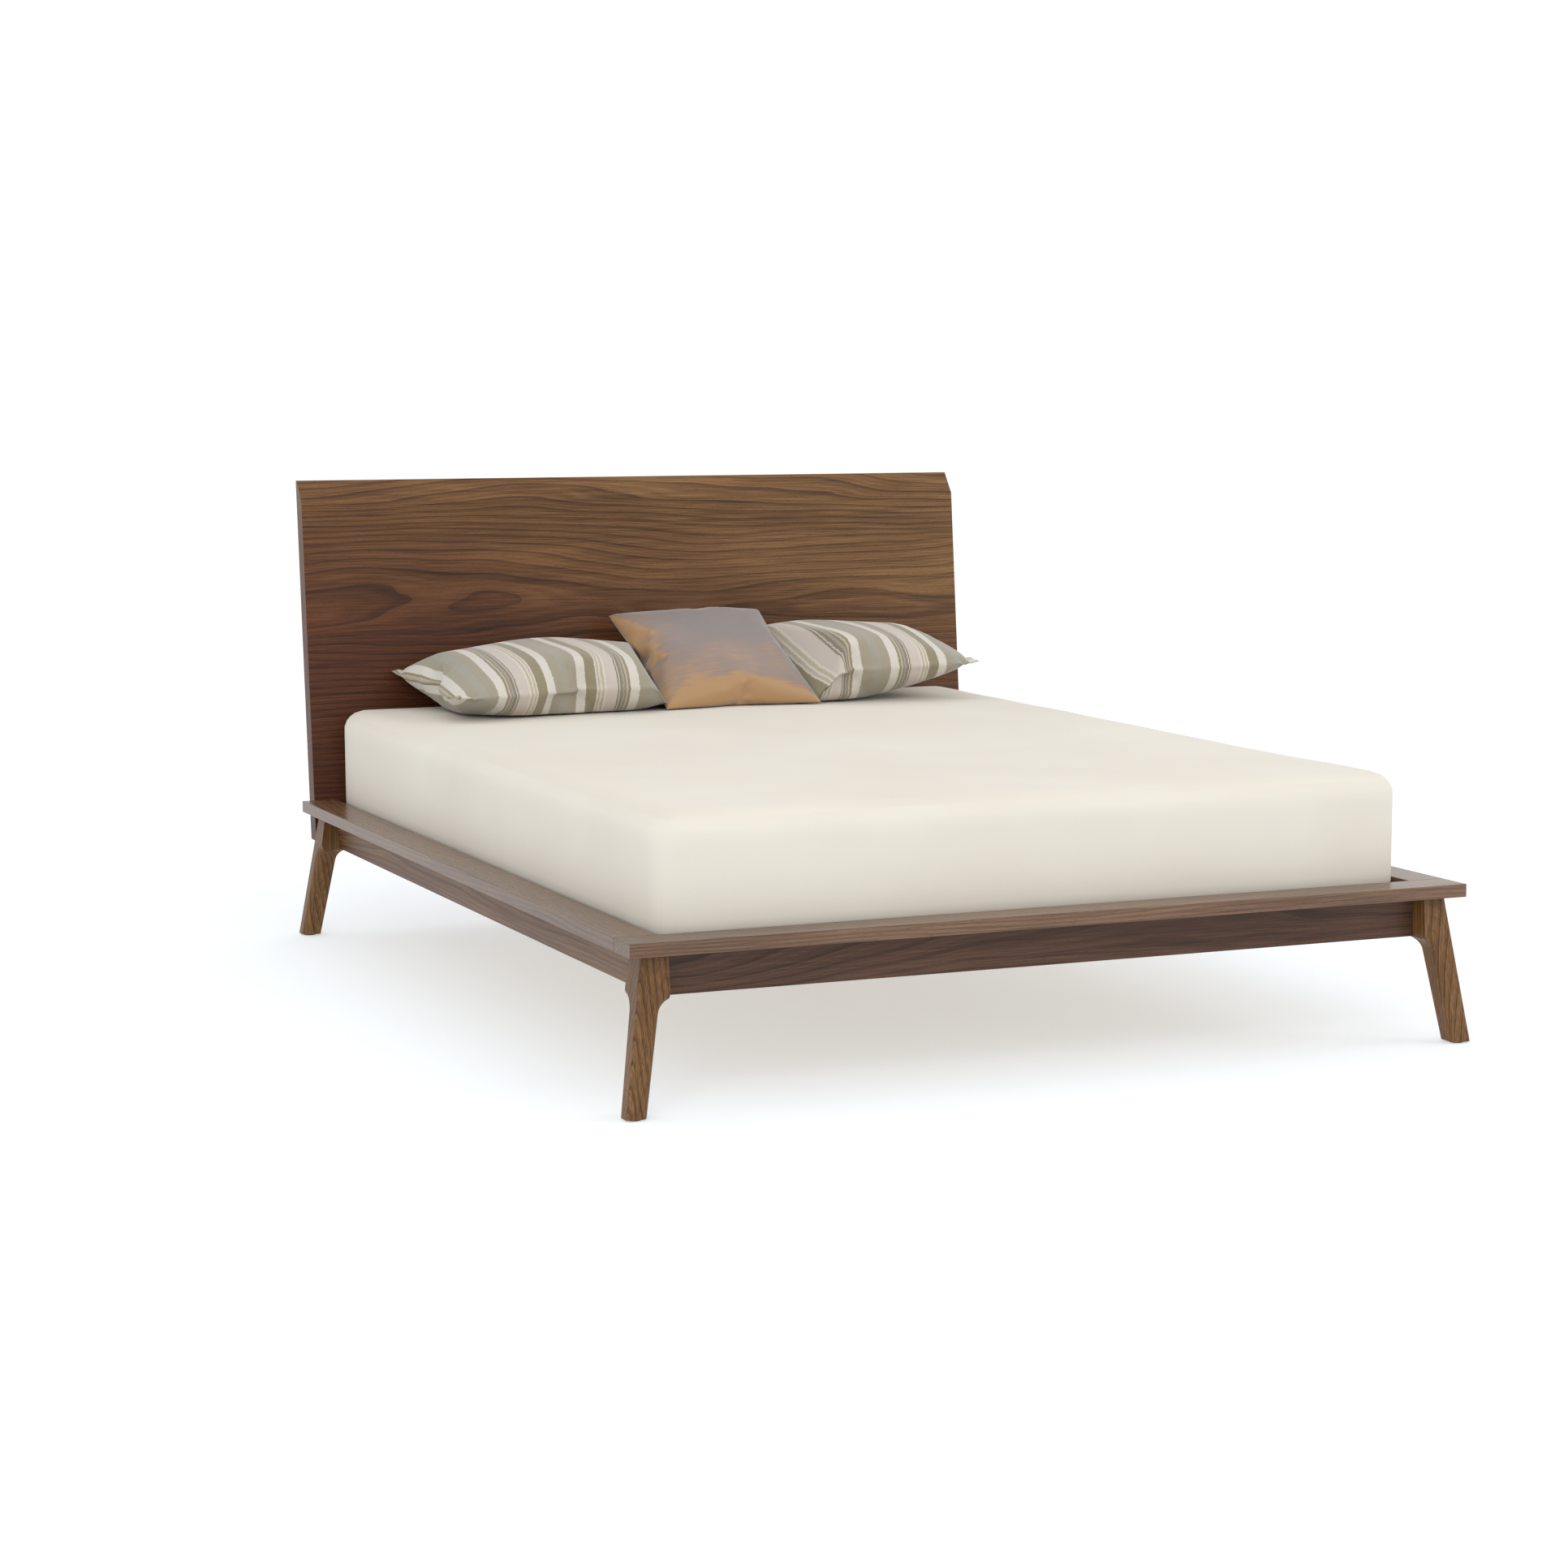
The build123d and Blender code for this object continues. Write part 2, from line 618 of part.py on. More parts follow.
# Wedge blocks carry the leaning panel off the upright head rail.
for name, side in (("left_headboard_block", -1), ("right_headboard_block", 1)):
    with BuildPart() as headboard_block:
        block_x = side * bracket_x - bracket_width / 2
        with BuildSketch(Plane(origin=(block_x, 0, 0), x_dir=(0, 1, 0), z_dir=(1, 0, 0))):
            with BuildLine():
                Polyline(
                    (head_rail_y, bracket_bottom),
                    (head_rail_y, bracket_bottom + bracket_height),
                    (panel_face_y(bracket_bottom + bracket_height), bracket_bottom + bracket_height),
                    (panel_face_y(bracket_bottom), bracket_bottom),
                    close=True,
                )
            make_face()
        extrude(amount=bracket_width)
        for x in bracket_bolt_x:
            with BuildSketch(Plane(origin=(x, head_inner_y, bracket_bolt_z), z_dir=(0, 1, 0))):
                Circle(bolt_radius + bolt_clearance)
            extrude(amount=bracket_bolt_length, mode=Mode.SUBTRACT)
    headboard_block.part.label = name
    export_step(headboard_block.part, f"parts/{name}.step")

with BuildPart() as headboard_bolts:
    for x in bracket_bolt_x:
        head_plane = Plane(origin=(x, head_inner_y, bracket_bolt_z), z_dir=(0, 1, 0))
        with BuildSketch(head_plane):
            Circle(bolt_radius)
        extrude(amount=bracket_bolt_length)
        with BuildSketch(head_plane):
            RegularPolygon(nut_across_flats / 2, 6, major_radius=False)
        extrude(amount=-nut_height)
headboard_bolts.part.label = "headboard_bolts"
export_step(headboard_bolts.part, "parts/headboard_bolts.step")

# ---------------------------------------------------------------- bedding
mattress_start = foot_y + ledge_board_width + mattress_foot_gap
with BuildPart() as mattress:
    with BuildSketch(Plane.XY.offset(mattress_bottom)):
        with Locations((0, mattress_start + mattress_length / 2)):
            RectangleRounded(mattress_width, mattress_length, mattress_corner_radius)
    extrude(amount=mattress_height)
    fillet(mattress.faces().sort_by(Axis.Z)[-1].edges(), radius=mattress_top_radius)
mattress.part.label = "mattress"
export_step(mattress.part, "parts/mattress.step")


cushion_y = foot_y + panel_face_from_foot - cushion_from_headboard
cushion_z = mattress_top + cushion_rise
cushion_slope = math.tan(math.radians(cushion_lean))
cushion_drop = (cushion_thickness / 2 + cushion_gap) / math.cos(math.radians(cushion_lean))
pillow_bottom = mattress_top + pillow_gap
nip_y = cushion_y + (pillow_bottom + pillow_nip_height + cushion_drop - cushion_z) / cushion_slope
space_reach = 2 * cushion_length                   # past the pillows on every side
space_front_y = cushion_y - space_reach
space_back_y = cushion_y + space_reach
space_top = cushion_z + 2 * space_reach

# The cushion squashes the pillows' inner ends, so this space is cut away from both.
with BuildPart() as cushion_space:
    space_side = Plane(
        origin=(cushion_x - cushion_width / 2 - cushion_gap, 0, 0), x_dir=(0, 1, 0), z_dir=(1, 0, 0)
    )
    with BuildSketch(space_side):
        with BuildLine():
            Polyline(
                (space_front_y, mattress_bottom),
                (nip_y, mattress_bottom),
                (nip_y, pillow_bottom + pillow_nip_height),
                (space_back_y, cushion_z + (space_back_y - cushion_y) * cushion_slope - cushion_drop),
                (space_back_y, space_top),
                (space_front_y, space_top),
                close=True,
            )
        make_face()
    extrude(amount=cushion_width + 2 * cushion_gap)


def loft_pillow(plane, length, width, height):
    """Loft a plump pillow about a middle plane: a full outline, drawn in above and below."""
    sections = []
    for share, draw_in in pillow_sections:
        with BuildSketch(plane.offset((share - 0.5) * height)) as section:
            shorter = draw_in * width
            RectangleRounded(length - shorter, width - shorter, pillow_corner_share * width)
        sections.append(section.sketch)
    loft(sections, ruled=True)


for name, pillow_x, pillow_height in (
    ("left_pillow", left_pillow_x, left_pillow_height),
    ("right_pillow", right_pillow_x, right_pillow_height),
):
    pillow_z = pillow_bottom + pillow_height / 2
    pillow_y = panel_face_y(pillow_z) - pillow_back_gap - pillow_width / 2
    with BuildPart() as pillow:
        middle = Plane(origin=(pillow_x, pillow_y, pillow_z))
        loft_pillow(middle, pillow_length, pillow_width, pillow_height)
        add(cushion_space.part, mode=Mode.SUBTRACT)
    pillow.part.label = name
    export_step(pillow.part, f"parts/{name}.step")

cushion_plane = Plane(origin=(cushion_x, cushion_y, cushion_z)).rotated((cushion_lean, 0, 0))
with BuildPart() as throw_cushion:
    loft_pillow(cushion_plane, cushion_width, cushion_length, cushion_thickness)
throw_cushion.part.label = "throw_cushion"
export_step(throw_cushion.part, "parts/throw_cushion.step")
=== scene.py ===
"""Looks of a walnut platform bed: wood grain, steelwork, a fitted sheet, two pillows and a cushion.

The frame, legs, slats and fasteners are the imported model's own pieces in better finishes. The bedding is
made here: the mattress and its sheet are modelled, and the pillows and cushion are sewn flat, inflated by
cloth simulation and scaled to their sizes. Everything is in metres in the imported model's frame.
"""

import json
import logging
import math
from dataclasses import dataclass
from enum import Enum

import bpy
from mathutils import Euler, Matrix, Vector, noise

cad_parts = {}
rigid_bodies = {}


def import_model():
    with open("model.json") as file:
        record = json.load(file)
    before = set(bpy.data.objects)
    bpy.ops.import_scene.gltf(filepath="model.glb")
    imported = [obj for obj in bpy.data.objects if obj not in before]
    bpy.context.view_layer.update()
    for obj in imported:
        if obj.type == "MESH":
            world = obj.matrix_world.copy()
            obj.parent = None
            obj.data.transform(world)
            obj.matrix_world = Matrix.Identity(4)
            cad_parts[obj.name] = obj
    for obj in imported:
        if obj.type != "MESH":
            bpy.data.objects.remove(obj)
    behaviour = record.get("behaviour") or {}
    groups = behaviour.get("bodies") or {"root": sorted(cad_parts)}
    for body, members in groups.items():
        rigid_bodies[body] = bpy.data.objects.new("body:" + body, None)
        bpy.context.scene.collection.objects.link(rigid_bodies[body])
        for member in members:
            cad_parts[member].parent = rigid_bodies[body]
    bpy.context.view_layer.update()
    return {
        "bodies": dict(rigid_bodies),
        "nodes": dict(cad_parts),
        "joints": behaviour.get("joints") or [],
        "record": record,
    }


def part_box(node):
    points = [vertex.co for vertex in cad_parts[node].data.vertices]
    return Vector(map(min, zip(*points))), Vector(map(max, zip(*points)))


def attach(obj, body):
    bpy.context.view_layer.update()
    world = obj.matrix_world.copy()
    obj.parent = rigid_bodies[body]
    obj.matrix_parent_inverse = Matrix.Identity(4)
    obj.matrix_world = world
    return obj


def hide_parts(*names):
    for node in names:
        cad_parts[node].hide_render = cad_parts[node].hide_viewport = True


log = logging.getLogger("platform_bed")
MM = 0.001


# ---------------------------------------------------------------- small tools
def linear(hex_colour: str) -> tuple[float, float, float, float]:
    """Turn an sRGB hex colour into linear RGBA.

    Args:
        hex_colour: Six hex digits with a leading hash.

    Returns:
        Red, green, blue and an alpha of one.
    """
    channels = [int(hex_colour[i : i + 2], 16) / 255 for i in (1, 3, 5)]
    rgb = [c / 12.92 if c <= 0.04045 else ((c + 0.055) / 1.055) ** 2.4 for c in channels]
    return (rgb[0], rgb[1], rgb[2], 1.0)


def add_node(
    tree: bpy.types.NodeTree, kind: str, settings: dict | None = None, inputs: dict | None = None
) -> bpy.types.Node:
    """Add one shader node.

    Args:
        tree: The node tree that gets the node.
        kind: The node's type name without its ShaderNode prefix.
        settings: Properties of the node.
        inputs: Socket name or index, with either a value or the output that feeds it.

    Returns:
        The new node.
    """
    node = tree.nodes.new("ShaderNode" + kind)
    for name, value in (settings or {}).items():
        setattr(node, name, value)
    for key, value in (inputs or {}).items():
        if isinstance(value, bpy.types.NodeSocket):
            tree.links.new(value, node.inputs[key])
        else:
            node.inputs[key].default_value = value
    return node


def new_material(name: str) -> tuple[bpy.types.Material, bpy.types.NodeTree, bpy.types.Node]:
    """Make an empty node material.

    Args:
        name: The material's name.

    Returns:
        The material, its node tree and its shader.
    """
    material = bpy.data.materials.new(name)
    material.use_nodes = True
    return material, material.node_tree, material.node_tree.nodes["Principled BSDF"]


def set_stops(ramp: bpy.types.Node, stops: list[tuple[float, str]], smooth: bool = True) -> None:
    """Write a colour ramp's stops.

    Args:
        ramp: The colour ramp node.
        stops: Place from 0 to 1 and hex colour, in rising order.
        smooth: False gives hard edges between the colours.
    """
    ramp.color_ramp.interpolation = "LINEAR" if smooth else "CONSTANT"
    elements = ramp.color_ramp.elements
    while len(elements) > 1:
        elements.remove(elements[-1])
    elements[0].position = stops[0][0]
    elements[0].color = linear(stops[0][1])
    for place, colour in stops[1:]:
        elements.new(place).color = linear(colour)


def add_noise(
    tree: bpy.types.NodeTree, place: bpy.types.NodeSocket, scale: float, detail: float
) -> bpy.types.NodeSocket:
    """Add a noise texture.

    Args:
        tree: The node tree that gets it.
        place: The coordinates that it reads.
        scale: Its patches in one unit.
        detail: How many finer octaves it has.

    Returns:
        A value about 0.5.
    """
    return add_node(tree, "TexNoise", {}, {"Vector": place, "Scale": scale, "Detail": detail}).outputs["Fac"]


def multiply_add(
    tree: bpy.types.NodeTree,
    value: bpy.types.NodeSocket,
    factor: float,
    added: bpy.types.NodeSocket | float,
) -> bpy.types.NodeSocket:
    """Add a node that multiplies a value by a factor and adds another value."""
    return add_node(
        tree, "Math", {"operation": "MULTIPLY_ADD"}, {0: value, 1: factor, 2: added}
    ).outputs[0]


def wave_scale(spacing: float) -> float:
    """Scale a wave texture to one wave in each spacing, as scale s turns 20 s radians in a metre."""
    return 2 * math.pi / (20 * spacing)


def deselect_all() -> None:
    """Leave edit mode and clear the selection, so that an operator acts on the new piece alone."""
    if bpy.context.object is not None and bpy.context.object.mode != "OBJECT":
        bpy.ops.object.mode_set(mode="OBJECT")
    bpy.ops.object.select_all(action="DESELECT")


def select_only(piece: bpy.types.Object) -> None:
    """Make one object the only selected and the active one."""
    deselect_all()
    piece.select_set(True)
    bpy.context.view_layer.objects.active = piece


def settle_transform(piece: bpy.types.Object) -> None:
    """Write an object's place, turn and size into its mesh."""
    select_only(piece)
    bpy.ops.object.transform_apply(location=True, rotation=True, scale=True)


def apply_modifiers(piece: bpy.types.Object) -> None:
    """Apply every modifier of a piece, in order."""
    select_only(piece)
    for modifier in list(piece.modifiers):
        bpy.ops.object.modifier_apply(modifier=modifier.name)


def smooth_step(value: float, low: float, high: float) -> float:
    """Rise smoothly from 0 at low to 1 at high."""
    share = min(1.0, max(0.0, (value - low) / (high - low)))
    return share * share * (3 - 2 * share)


# ---------------------------------------------------------------- finishes
class Grain(Enum):
    """The way a board's grain runs, as the turn that lays that axis along the pattern's own X."""

    ACROSS = (0.0, 0.0, 0.0)
    ALONG = (0.0, 0.0, -math.pi / 2)
    UPRIGHT = (0.0, math.pi / 2, 0.0)


@dataclass(frozen=True)
class Timber:
    """A planed and oiled board: growth rings cut flat, long fibres and open pores.

    The rings are shells round a pith that lies behind the board, so that they come out as long arches and
    closed eyes where the cut is flat and as straight lines beside them. Noise makes the stem wander.
    """

    name: str
    dark: str
    middle: str
    light: str
    grain: Grain = Grain.ACROSS
    shift: tuple[float, float, float] = (0.0, 0.0, 0.0)
    ring_mm: float = 9.0
    wander_mm: float = 60.0
    fibre_mm: float = 2.2
    pore_depth: float = 0.35
    roughness: float = 0.42
    gloss: float = 0.28
    # Painted shade: an optional colour multiplied into the board low down and to the left, fading out between
    # two heights measured along the rise direction.
    low_tint: str | None = None
    painted_shade_rise: tuple[float, float, float] = (0.22, 0.0, 1.0)
    painted_shade_from: float = 0.45
    painted_shade_to: float = 1.05

    # How strongly each pattern moves the tone away from 0.5, the middle colour.
    LATE_SHARE = -0.19
    LINE_SHARE = 0.09
    FIBRE_SHARE = 0.70
    BAND_SHARE = 0.30
    CLOUD_SHARE = 0.45

    # The widths of the wider and finer streaks in fibre widths, and the fine lines in one ring.
    BAND_WIDTH = 9.0
    CLOUD_WIDTH = 60.0
    PORE_WIDTH = 0.62
    LINES_PER_RING = 3.1

    def make(self) -> bpy.types.Material:
        """Build the node material.

        Returns:
            The finished material.
        """
        material, tree, shader = new_material(self.name)
        place = add_node(tree, "TexCoord").outputs["Object"]
        board = add_node(
            tree, "Mapping", {}, {"Vector": place, "Rotation": self.grain.value, "Location": self.shift}
        ).outputs[0]

        # The stem wanders slowly along the board and more quickly across it.
        stretched = add_node(tree, "Mapping", {}, {"Vector": board, "Scale": (0.75, 3.4, 3.4)}).outputs[0]
        sway = add_node(
            tree, "TexNoise", {}, {"Vector": stretched, "Scale": 1.0, "Detail": 3.0, "Roughness": 0.38}
        )
        centred = add_node(
            tree, "VectorMath", {"operation": "SUBTRACT"}, {0: sway.outputs["Color"], 1: (0.5, 0.5, 0.5)}
        ).outputs[0]
        swing = 2 * self.wander_mm * MM
        swayed = add_node(
            tree, "VectorMath", {"operation": "MULTIPLY_ADD"}, {0: centred, 1: (0.0, swing, swing), 2: board}
        ).outputs[0]
        rings = self.rings(tree, swayed, self.ring_mm, "SAW")
        late = add_node(
            tree,
            "MapRange",
            {"interpolation_type": "SMOOTHSTEP"},
            {"Value": rings, "From Min": 0.45, "From Max": 1.0},
        ).outputs[0]
        lines = self.rings(tree, swayed, self.ring_mm / self.LINES_PER_RING, "SIN")

        fibres = self.streaks(tree, board, self.fibre_mm, stretch=60, detail=3.0)
        bands = self.streaks(tree, swayed, self.BAND_WIDTH * self.fibre_mm, stretch=30, detail=2.0)
        clouds = self.streaks(tree, board, self.CLOUD_WIDTH * self.fibre_mm, stretch=6, detail=2.0)
        pore_noise = self.streaks(tree, board, self.PORE_WIDTH * self.fibre_mm, stretch=9, detail=1.0)
        pores = add_node(
            tree,
            "MapRange",
            {},
            {"Value": pore_noise, "From Min": 0.58, "From Max": 0.70, "To Max": self.pore_depth},
        ).outputs[0]

        # The ring, its fine lines, the fibres and the slow clouds together pick the tone.
        tone = 0.5
        for pattern, share in (
            (late, self.LATE_SHARE),
            (lines, self.LINE_SHARE),
            (fibres, self.FIBRE_SHARE),
            (bands, self.BAND_SHARE),
            (clouds, self.CLOUD_SHARE),
        ):
            centre = add_node(tree, "Math", {"operation": "SUBTRACT"}, {0: pattern, 1: 0.5}).outputs[0]
            tone = multiply_add(tree, centre, share, tone)
        ramp = add_node(tree, "ValToRGB", {}, {"Fac": tone})
        set_stops(ramp, [(0.22, self.dark), (0.50, self.middle), (0.80, self.light)])
        colour = add_node(
            tree,
            "Mix",
            {"data_type": "RGBA", "blend_type": "MIX"},
            {0: pores, 6: ramp.outputs["Color"], 7: linear(self.dark)},
        ).outputs[2]
        # Painted shade: the board is darkened and reddened towards its bottom and its left, and left as it is
        # higher up and to the right.
        if self.low_tint is not None:
            height = add_node(
                tree, "VectorMath", {"operation": "DOT_PRODUCT"}, {0: place, 1: self.painted_shade_rise}
            ).outputs["Value"]
            low = add_node(
                tree,
                "MapRange",
                {"interpolation_type": "SMOOTHSTEP"},
                {
                    "Value": height,
                    "From Min": self.painted_shade_from,
                    "From Max": self.painted_shade_to,
                    "To Min": 1.0,
                    "To Max": 0.0,
                },
            ).outputs[0]
            colour = add_node(
                tree,
                "Mix",
                {"data_type": "RGBA", "blend_type": "MULTIPLY"},
                {0: low, 6: colour, 7: linear(self.low_tint)},
            ).outputs[2]
        tree.links.new(colour, shader.inputs["Base Color"])

        rough = add_node(
            tree,
            "MapRange",
            {},
            {"Value": fibres, "To Min": self.roughness - 0.08, "To Max": self.roughness + 0.10},
        ).outputs[0]
        tree.links.new(rough, shader.inputs["Roughness"])
        shader.inputs["Specular IOR Level"].default_value = self.gloss
        relief = add_node(tree, "Math", {"operation": "SUBTRACT"}, {0: fibres, 1: pores}).outputs[0]
        bump = add_node(
            tree, "Bump", {}, {"Height": relief, "Distance": 0.25 * MM, "Strength": 0.6}
        ).outputs[0]
        tree.links.new(bump, shader.inputs["Normal"])
        return material

    @staticmethod
    def rings(
        tree: bpy.types.NodeTree, place: bpy.types.NodeSocket, spacing_mm: float, profile: str
    ) -> bpy.types.NodeSocket:
        """Draw growth rings round the board's X axis.

        Args:
            tree: The material's tree.
            place: Where on the swaying stem.
            spacing_mm: The distance from one ring to the next.
            profile: The wave's profile, SAW for a sharp late edge or SIN for a soft line.

        Returns:
            A value from 0 to 1.
        """
        return add_node(
            tree,
            "TexWave",
            {"wave_type": "RINGS", "rings_direction": "X", "wave_profile": profile},
            {
                "Vector": place,
                "Scale": wave_scale(spacing_mm * MM),
                "Distortion": 1.2,
                "Detail": 2.0,
                "Detail Scale": 0.12,
                "Detail Roughness": 0.5,
            },
        ).outputs["Fac"]

    @staticmethod
    def streaks(
        tree: bpy.types.NodeTree, place: bpy.types.NodeSocket, width_mm: float, stretch: float, detail: float
    ) -> bpy.types.NodeSocket:
        """Draw noise drawn out along the grain.

        Args:
            tree: The material's tree.
            place: Where on the board.
            width_mm: A streak's width.
            stretch: A streak's length over its width.
            detail: How many finer octaves it has.

        Returns:
            A value about 0.5.
        """
        across = 1 / (width_mm * MM)
        drawn = add_node(
            tree, "Mapping", {}, {"Vector": place, "Scale": (across / stretch, across, across)}
        ).outputs[0]
        return add_noise(tree, drawn, 1.0, detail)


@dataclass(frozen=True)
class PlatedSteel:
    """Zinc-plated pressed steel: a grey metal with a faint cloudy spangle."""

    name: str = "zinc_plated_steel"
    colour: str = "#b4b6b5"
    cloud: str = "#8e9190"
    spangle_mm: float = 6.0

    def make(self) -> bpy.types.Material:
        """Build the node material.

        Returns:
            The finished material.
        """
        material, tree, shader = new_material(self.name)
        place = add_node(tree, "TexCoord").outputs["Object"]
        spangle = add_node(
            tree, "TexVoronoi", {}, {"Vector": place, "Scale": 1 / (self.spangle_mm * MM)}
        ).outputs["Color"]
        ramp = add_node(tree, "ValToRGB", {}, {"Fac": spangle})
        set_stops(ramp, [(0.0, self.cloud), (1.0, self.colour)])
        tree.links.new(ramp.outputs["Color"], shader.inputs["Base Color"])
        rough = add_node(tree, "MapRange", {}, {"Value": spangle, "To Min": 0.34, "To Max": 0.5}).outputs[0]
        tree.links.new(rough, shader.inputs["Roughness"])
        shader.inputs["Metallic"].default_value = 1.0
        return material


@dataclass(frozen=True)
class MouldedNylon:
    """Injection-moulded nylon: dark, waxy and faintly pebbled."""

    name: str = "moulded_nylon"
    colour: str = "#2e2622"
    pebble_mm: float = 0.8

    def make(self) -> bpy.types.Material:
        """Build the node material.

        Returns:
            The finished material.
        """
        material, tree, shader = new_material(self.name)
        shader.inputs["Base Color"].default_value = linear(self.colour)
        shader.inputs["Roughness"].default_value = 0.5
        place = add_node(tree, "TexCoord").outputs["Object"]
        pebble = add_noise(tree, place, 1 / (self.pebble_mm * MM), 2.0)
        bump = add_node(tree, "Bump", {}, {"Height": pebble, "Distance": 0.05 * MM}).outputs[0]
        tree.links.new(bump, shader.inputs["Normal"])
        return material


class Weave(Enum):
    """How a cloth's colour is made."""

    PLAIN = "plain"
    STRIPED = "striped"
    SHOT = "shot"


@dataclass(frozen=True)
class Cloth:
    """A woven cloth: two sets of threads crossing, a soft sheen and slow changes of tone.

    Its threads follow the cloth's own flat pattern, stored in metres in the UV map called cloth.
    """

    name: str
    weave: Weave
    colours: tuple[str, ...]
    thread_mm: float = 1.6
    thread_shade: float = 0.9
    relief_mm: float = 0.12
    roughness: float = 0.85
    sheen: float = 0.25
    repeat_mm: float = 203.0
    stripe_start_mm: float = 0.0
    patch_mm: float = 160.0

    # A shirting stripe: millimetres from the middle of one wide band to the middle of the next, where the
    # order turns back on itself, with the colour that starts there.
    STRIPES = (
        (0.0, "grey"), (9.0, "taupe"), (31.0, "white"), (51.0, "olive"), (74.0, "white"), (77.0, "beige"),
        (82.0, "white"), (85.0, "beige"), (91.0, "white"), (95.0, "pale"), (120.0, "brown"), (123.0, "pale"),
        (126.0, "brown"), (131.0, "grey"), (136.0, "brown"), (139.0, "beige"), (143.0, "olive"),
        (149.0, "white"), (169.0, "taupe"), (192.0, "grey"),
    )

    def make(self) -> bpy.types.Material:
        """Build the node material.

        Returns:
            The finished material.
        """
        material, tree, shader = new_material(self.name)
        flat = add_node(tree, "UVMap", {"uv_map": "cloth"}).outputs[0]
        warp = self.threads(tree, flat, "X")
        weft = self.threads(tree, flat, "Y")
        crossing = add_node(tree, "Math", {"operation": "MULTIPLY"}, {0: warp, 1: weft}).outputs[0]
        slub_place = add_node(tree, "Mapping", {}, {"Vector": flat, "Scale": (14.0, 260.0, 1.0)}).outputs[0]
        slubs = add_noise(tree, slub_place, 1.0, 2.0)

        if self.weave is Weave.STRIPED:
            colour = self.striped(tree, flat)
        elif self.weave is Weave.SHOT:
            colour = self.shot(tree, flat, slubs)
        else:
            clouds = add_noise(tree, flat, 2.2, 3.0)
            ramp = add_node(tree, "ValToRGB", {}, {"Fac": clouds})
            set_stops(ramp, [(0.3, self.colours[0]), (0.7, self.colours[1])])
            colour = ramp.outputs["Color"]
        shade = add_node(
            tree, "MapRange", {}, {"Value": crossing, "To Min": self.thread_shade, "To Max": 1.0}
        ).outputs[0]
        colour = add_node(
            tree, "Mix", {"data_type": "RGBA", "blend_type": "MULTIPLY"}, {0: 1.0, 6: colour, 7: shade}
        ).outputs[2]
        tree.links.new(colour, shader.inputs["Base Color"])
        relief = multiply_add(tree, slubs, 0.6, crossing)
        bump = add_node(
            tree, "Bump", {}, {"Height": relief, "Distance": self.relief_mm * MM, "Strength": 0.7}
        ).outputs[0]
        tree.links.new(bump, shader.inputs["Normal"])
        shader.inputs["Roughness"].default_value = self.roughness
        shader.inputs["Sheen Weight"].default_value = self.sheen
        shader.inputs["Sheen Roughness"].default_value = 0.45
        return material

    def threads(
        self, tree: bpy.types.NodeTree, flat: bpy.types.NodeSocket, direction: str
    ) -> bpy.types.NodeSocket:
        """Draw one of the cloth's two sets of threads.

        Args:
            tree: The material's tree.
            flat: The cloth's flat pattern coordinates.
            direction: The axis of the flat pattern, X or Y, that crosses the threads.

        Returns:
            A value from 0 between two threads to 1 on a thread.
        """
        return add_node(
            tree,
            "TexWave",
            {"wave_type": "BANDS", "bands_direction": direction},
            {
                "Vector": flat,
                "Scale": wave_scale(self.thread_mm * MM),
                "Distortion": 1.5,
                "Detail": 1.0,
                "Detail Scale": 3.0,
            },
        ).outputs["Fac"]

    def striped(self, tree: bpy.types.NodeTree, flat: bpy.types.NodeSocket) -> bpy.types.NodeSocket:
        """Colour the cloth in stripes across its length, with the ragged edge that a heavy weft gives.

        Args:
            tree: The material's tree.
            flat: The cloth's flat pattern coordinates.

        Returns:
            The colour output.
        """
        names = dict(zip(("grey", "taupe", "white", "olive", "beige", "pale", "brown"), self.colours))
        ragged_place = add_node(
            tree, "Mapping", {}, {"Vector": flat, "Scale": (60.0, 330.0, 1.0)}
        ).outputs[0]
        ragged = add_noise(tree, ragged_place, 1.0, 2.0)
        along = add_node(tree, "SeparateXYZ", {}, {0: flat}).outputs["X"]
        moved = multiply_add(tree, ragged, 7.0 * MM, along)
        share = multiply_add(tree, moved, 1 / (self.repeat_mm * MM), self.stripe_start_mm / self.repeat_mm)
        folded = add_node(tree, "Math", {"operation": "PINGPONG"}, {0: share, 1: 1.0}).outputs[0]
        ramp = add_node(tree, "ValToRGB", {}, {"Fac": folded})
        set_stops(ramp, [(start / self.repeat_mm, names[name]) for start, name in self.STRIPES], smooth=False)
        return ramp.outputs["Color"]

    def shot(
        self, tree: bpy.types.NodeTree, flat: bpy.types.NodeSocket, slubs: bpy.types.NodeSocket
    ) -> bpy.types.NodeSocket:
        """Colour a cloth whose two thread colours show by turns, as the cloth turns up or down: painted
        sheen, picked by the way the surface faces.

        Args:
            tree: The material's tree.
            flat: The cloth's flat pattern coordinates.
            slubs: Streaks along the weft.

        Returns:
            The colour output.
        """
        # Painted sheen: faces turned to the front, the left and down get more of the copper, and faces turned
        # up and back get more of the grey-mauve.
        facing = add_node(tree, "TexCoord").outputs["Normal"]
        rise = add_node(
            tree, "VectorMath", {"operation": "DOT_PRODUCT"}, {0: facing, 1: (-0.35, -0.75, -0.45)}
        ).outputs["Value"]
        patches = add_noise(tree, flat, 1 / (self.patch_mm * MM), 3.0)
        painted_sheen_and_patches = multiply_add(tree, patches, 0.9, rise)
        painted_sheen_and_slubs = multiply_add(tree, slubs, 0.5, painted_sheen_and_patches)
        ramp = add_node(tree, "ValToRGB", {}, {"Fac": painted_sheen_and_slubs})
        set_stops(ramp, [(0.58, self.colours[0]), (0.80, self.colours[1]), (0.98, self.colours[2])])
        return ramp.outputs["Color"]


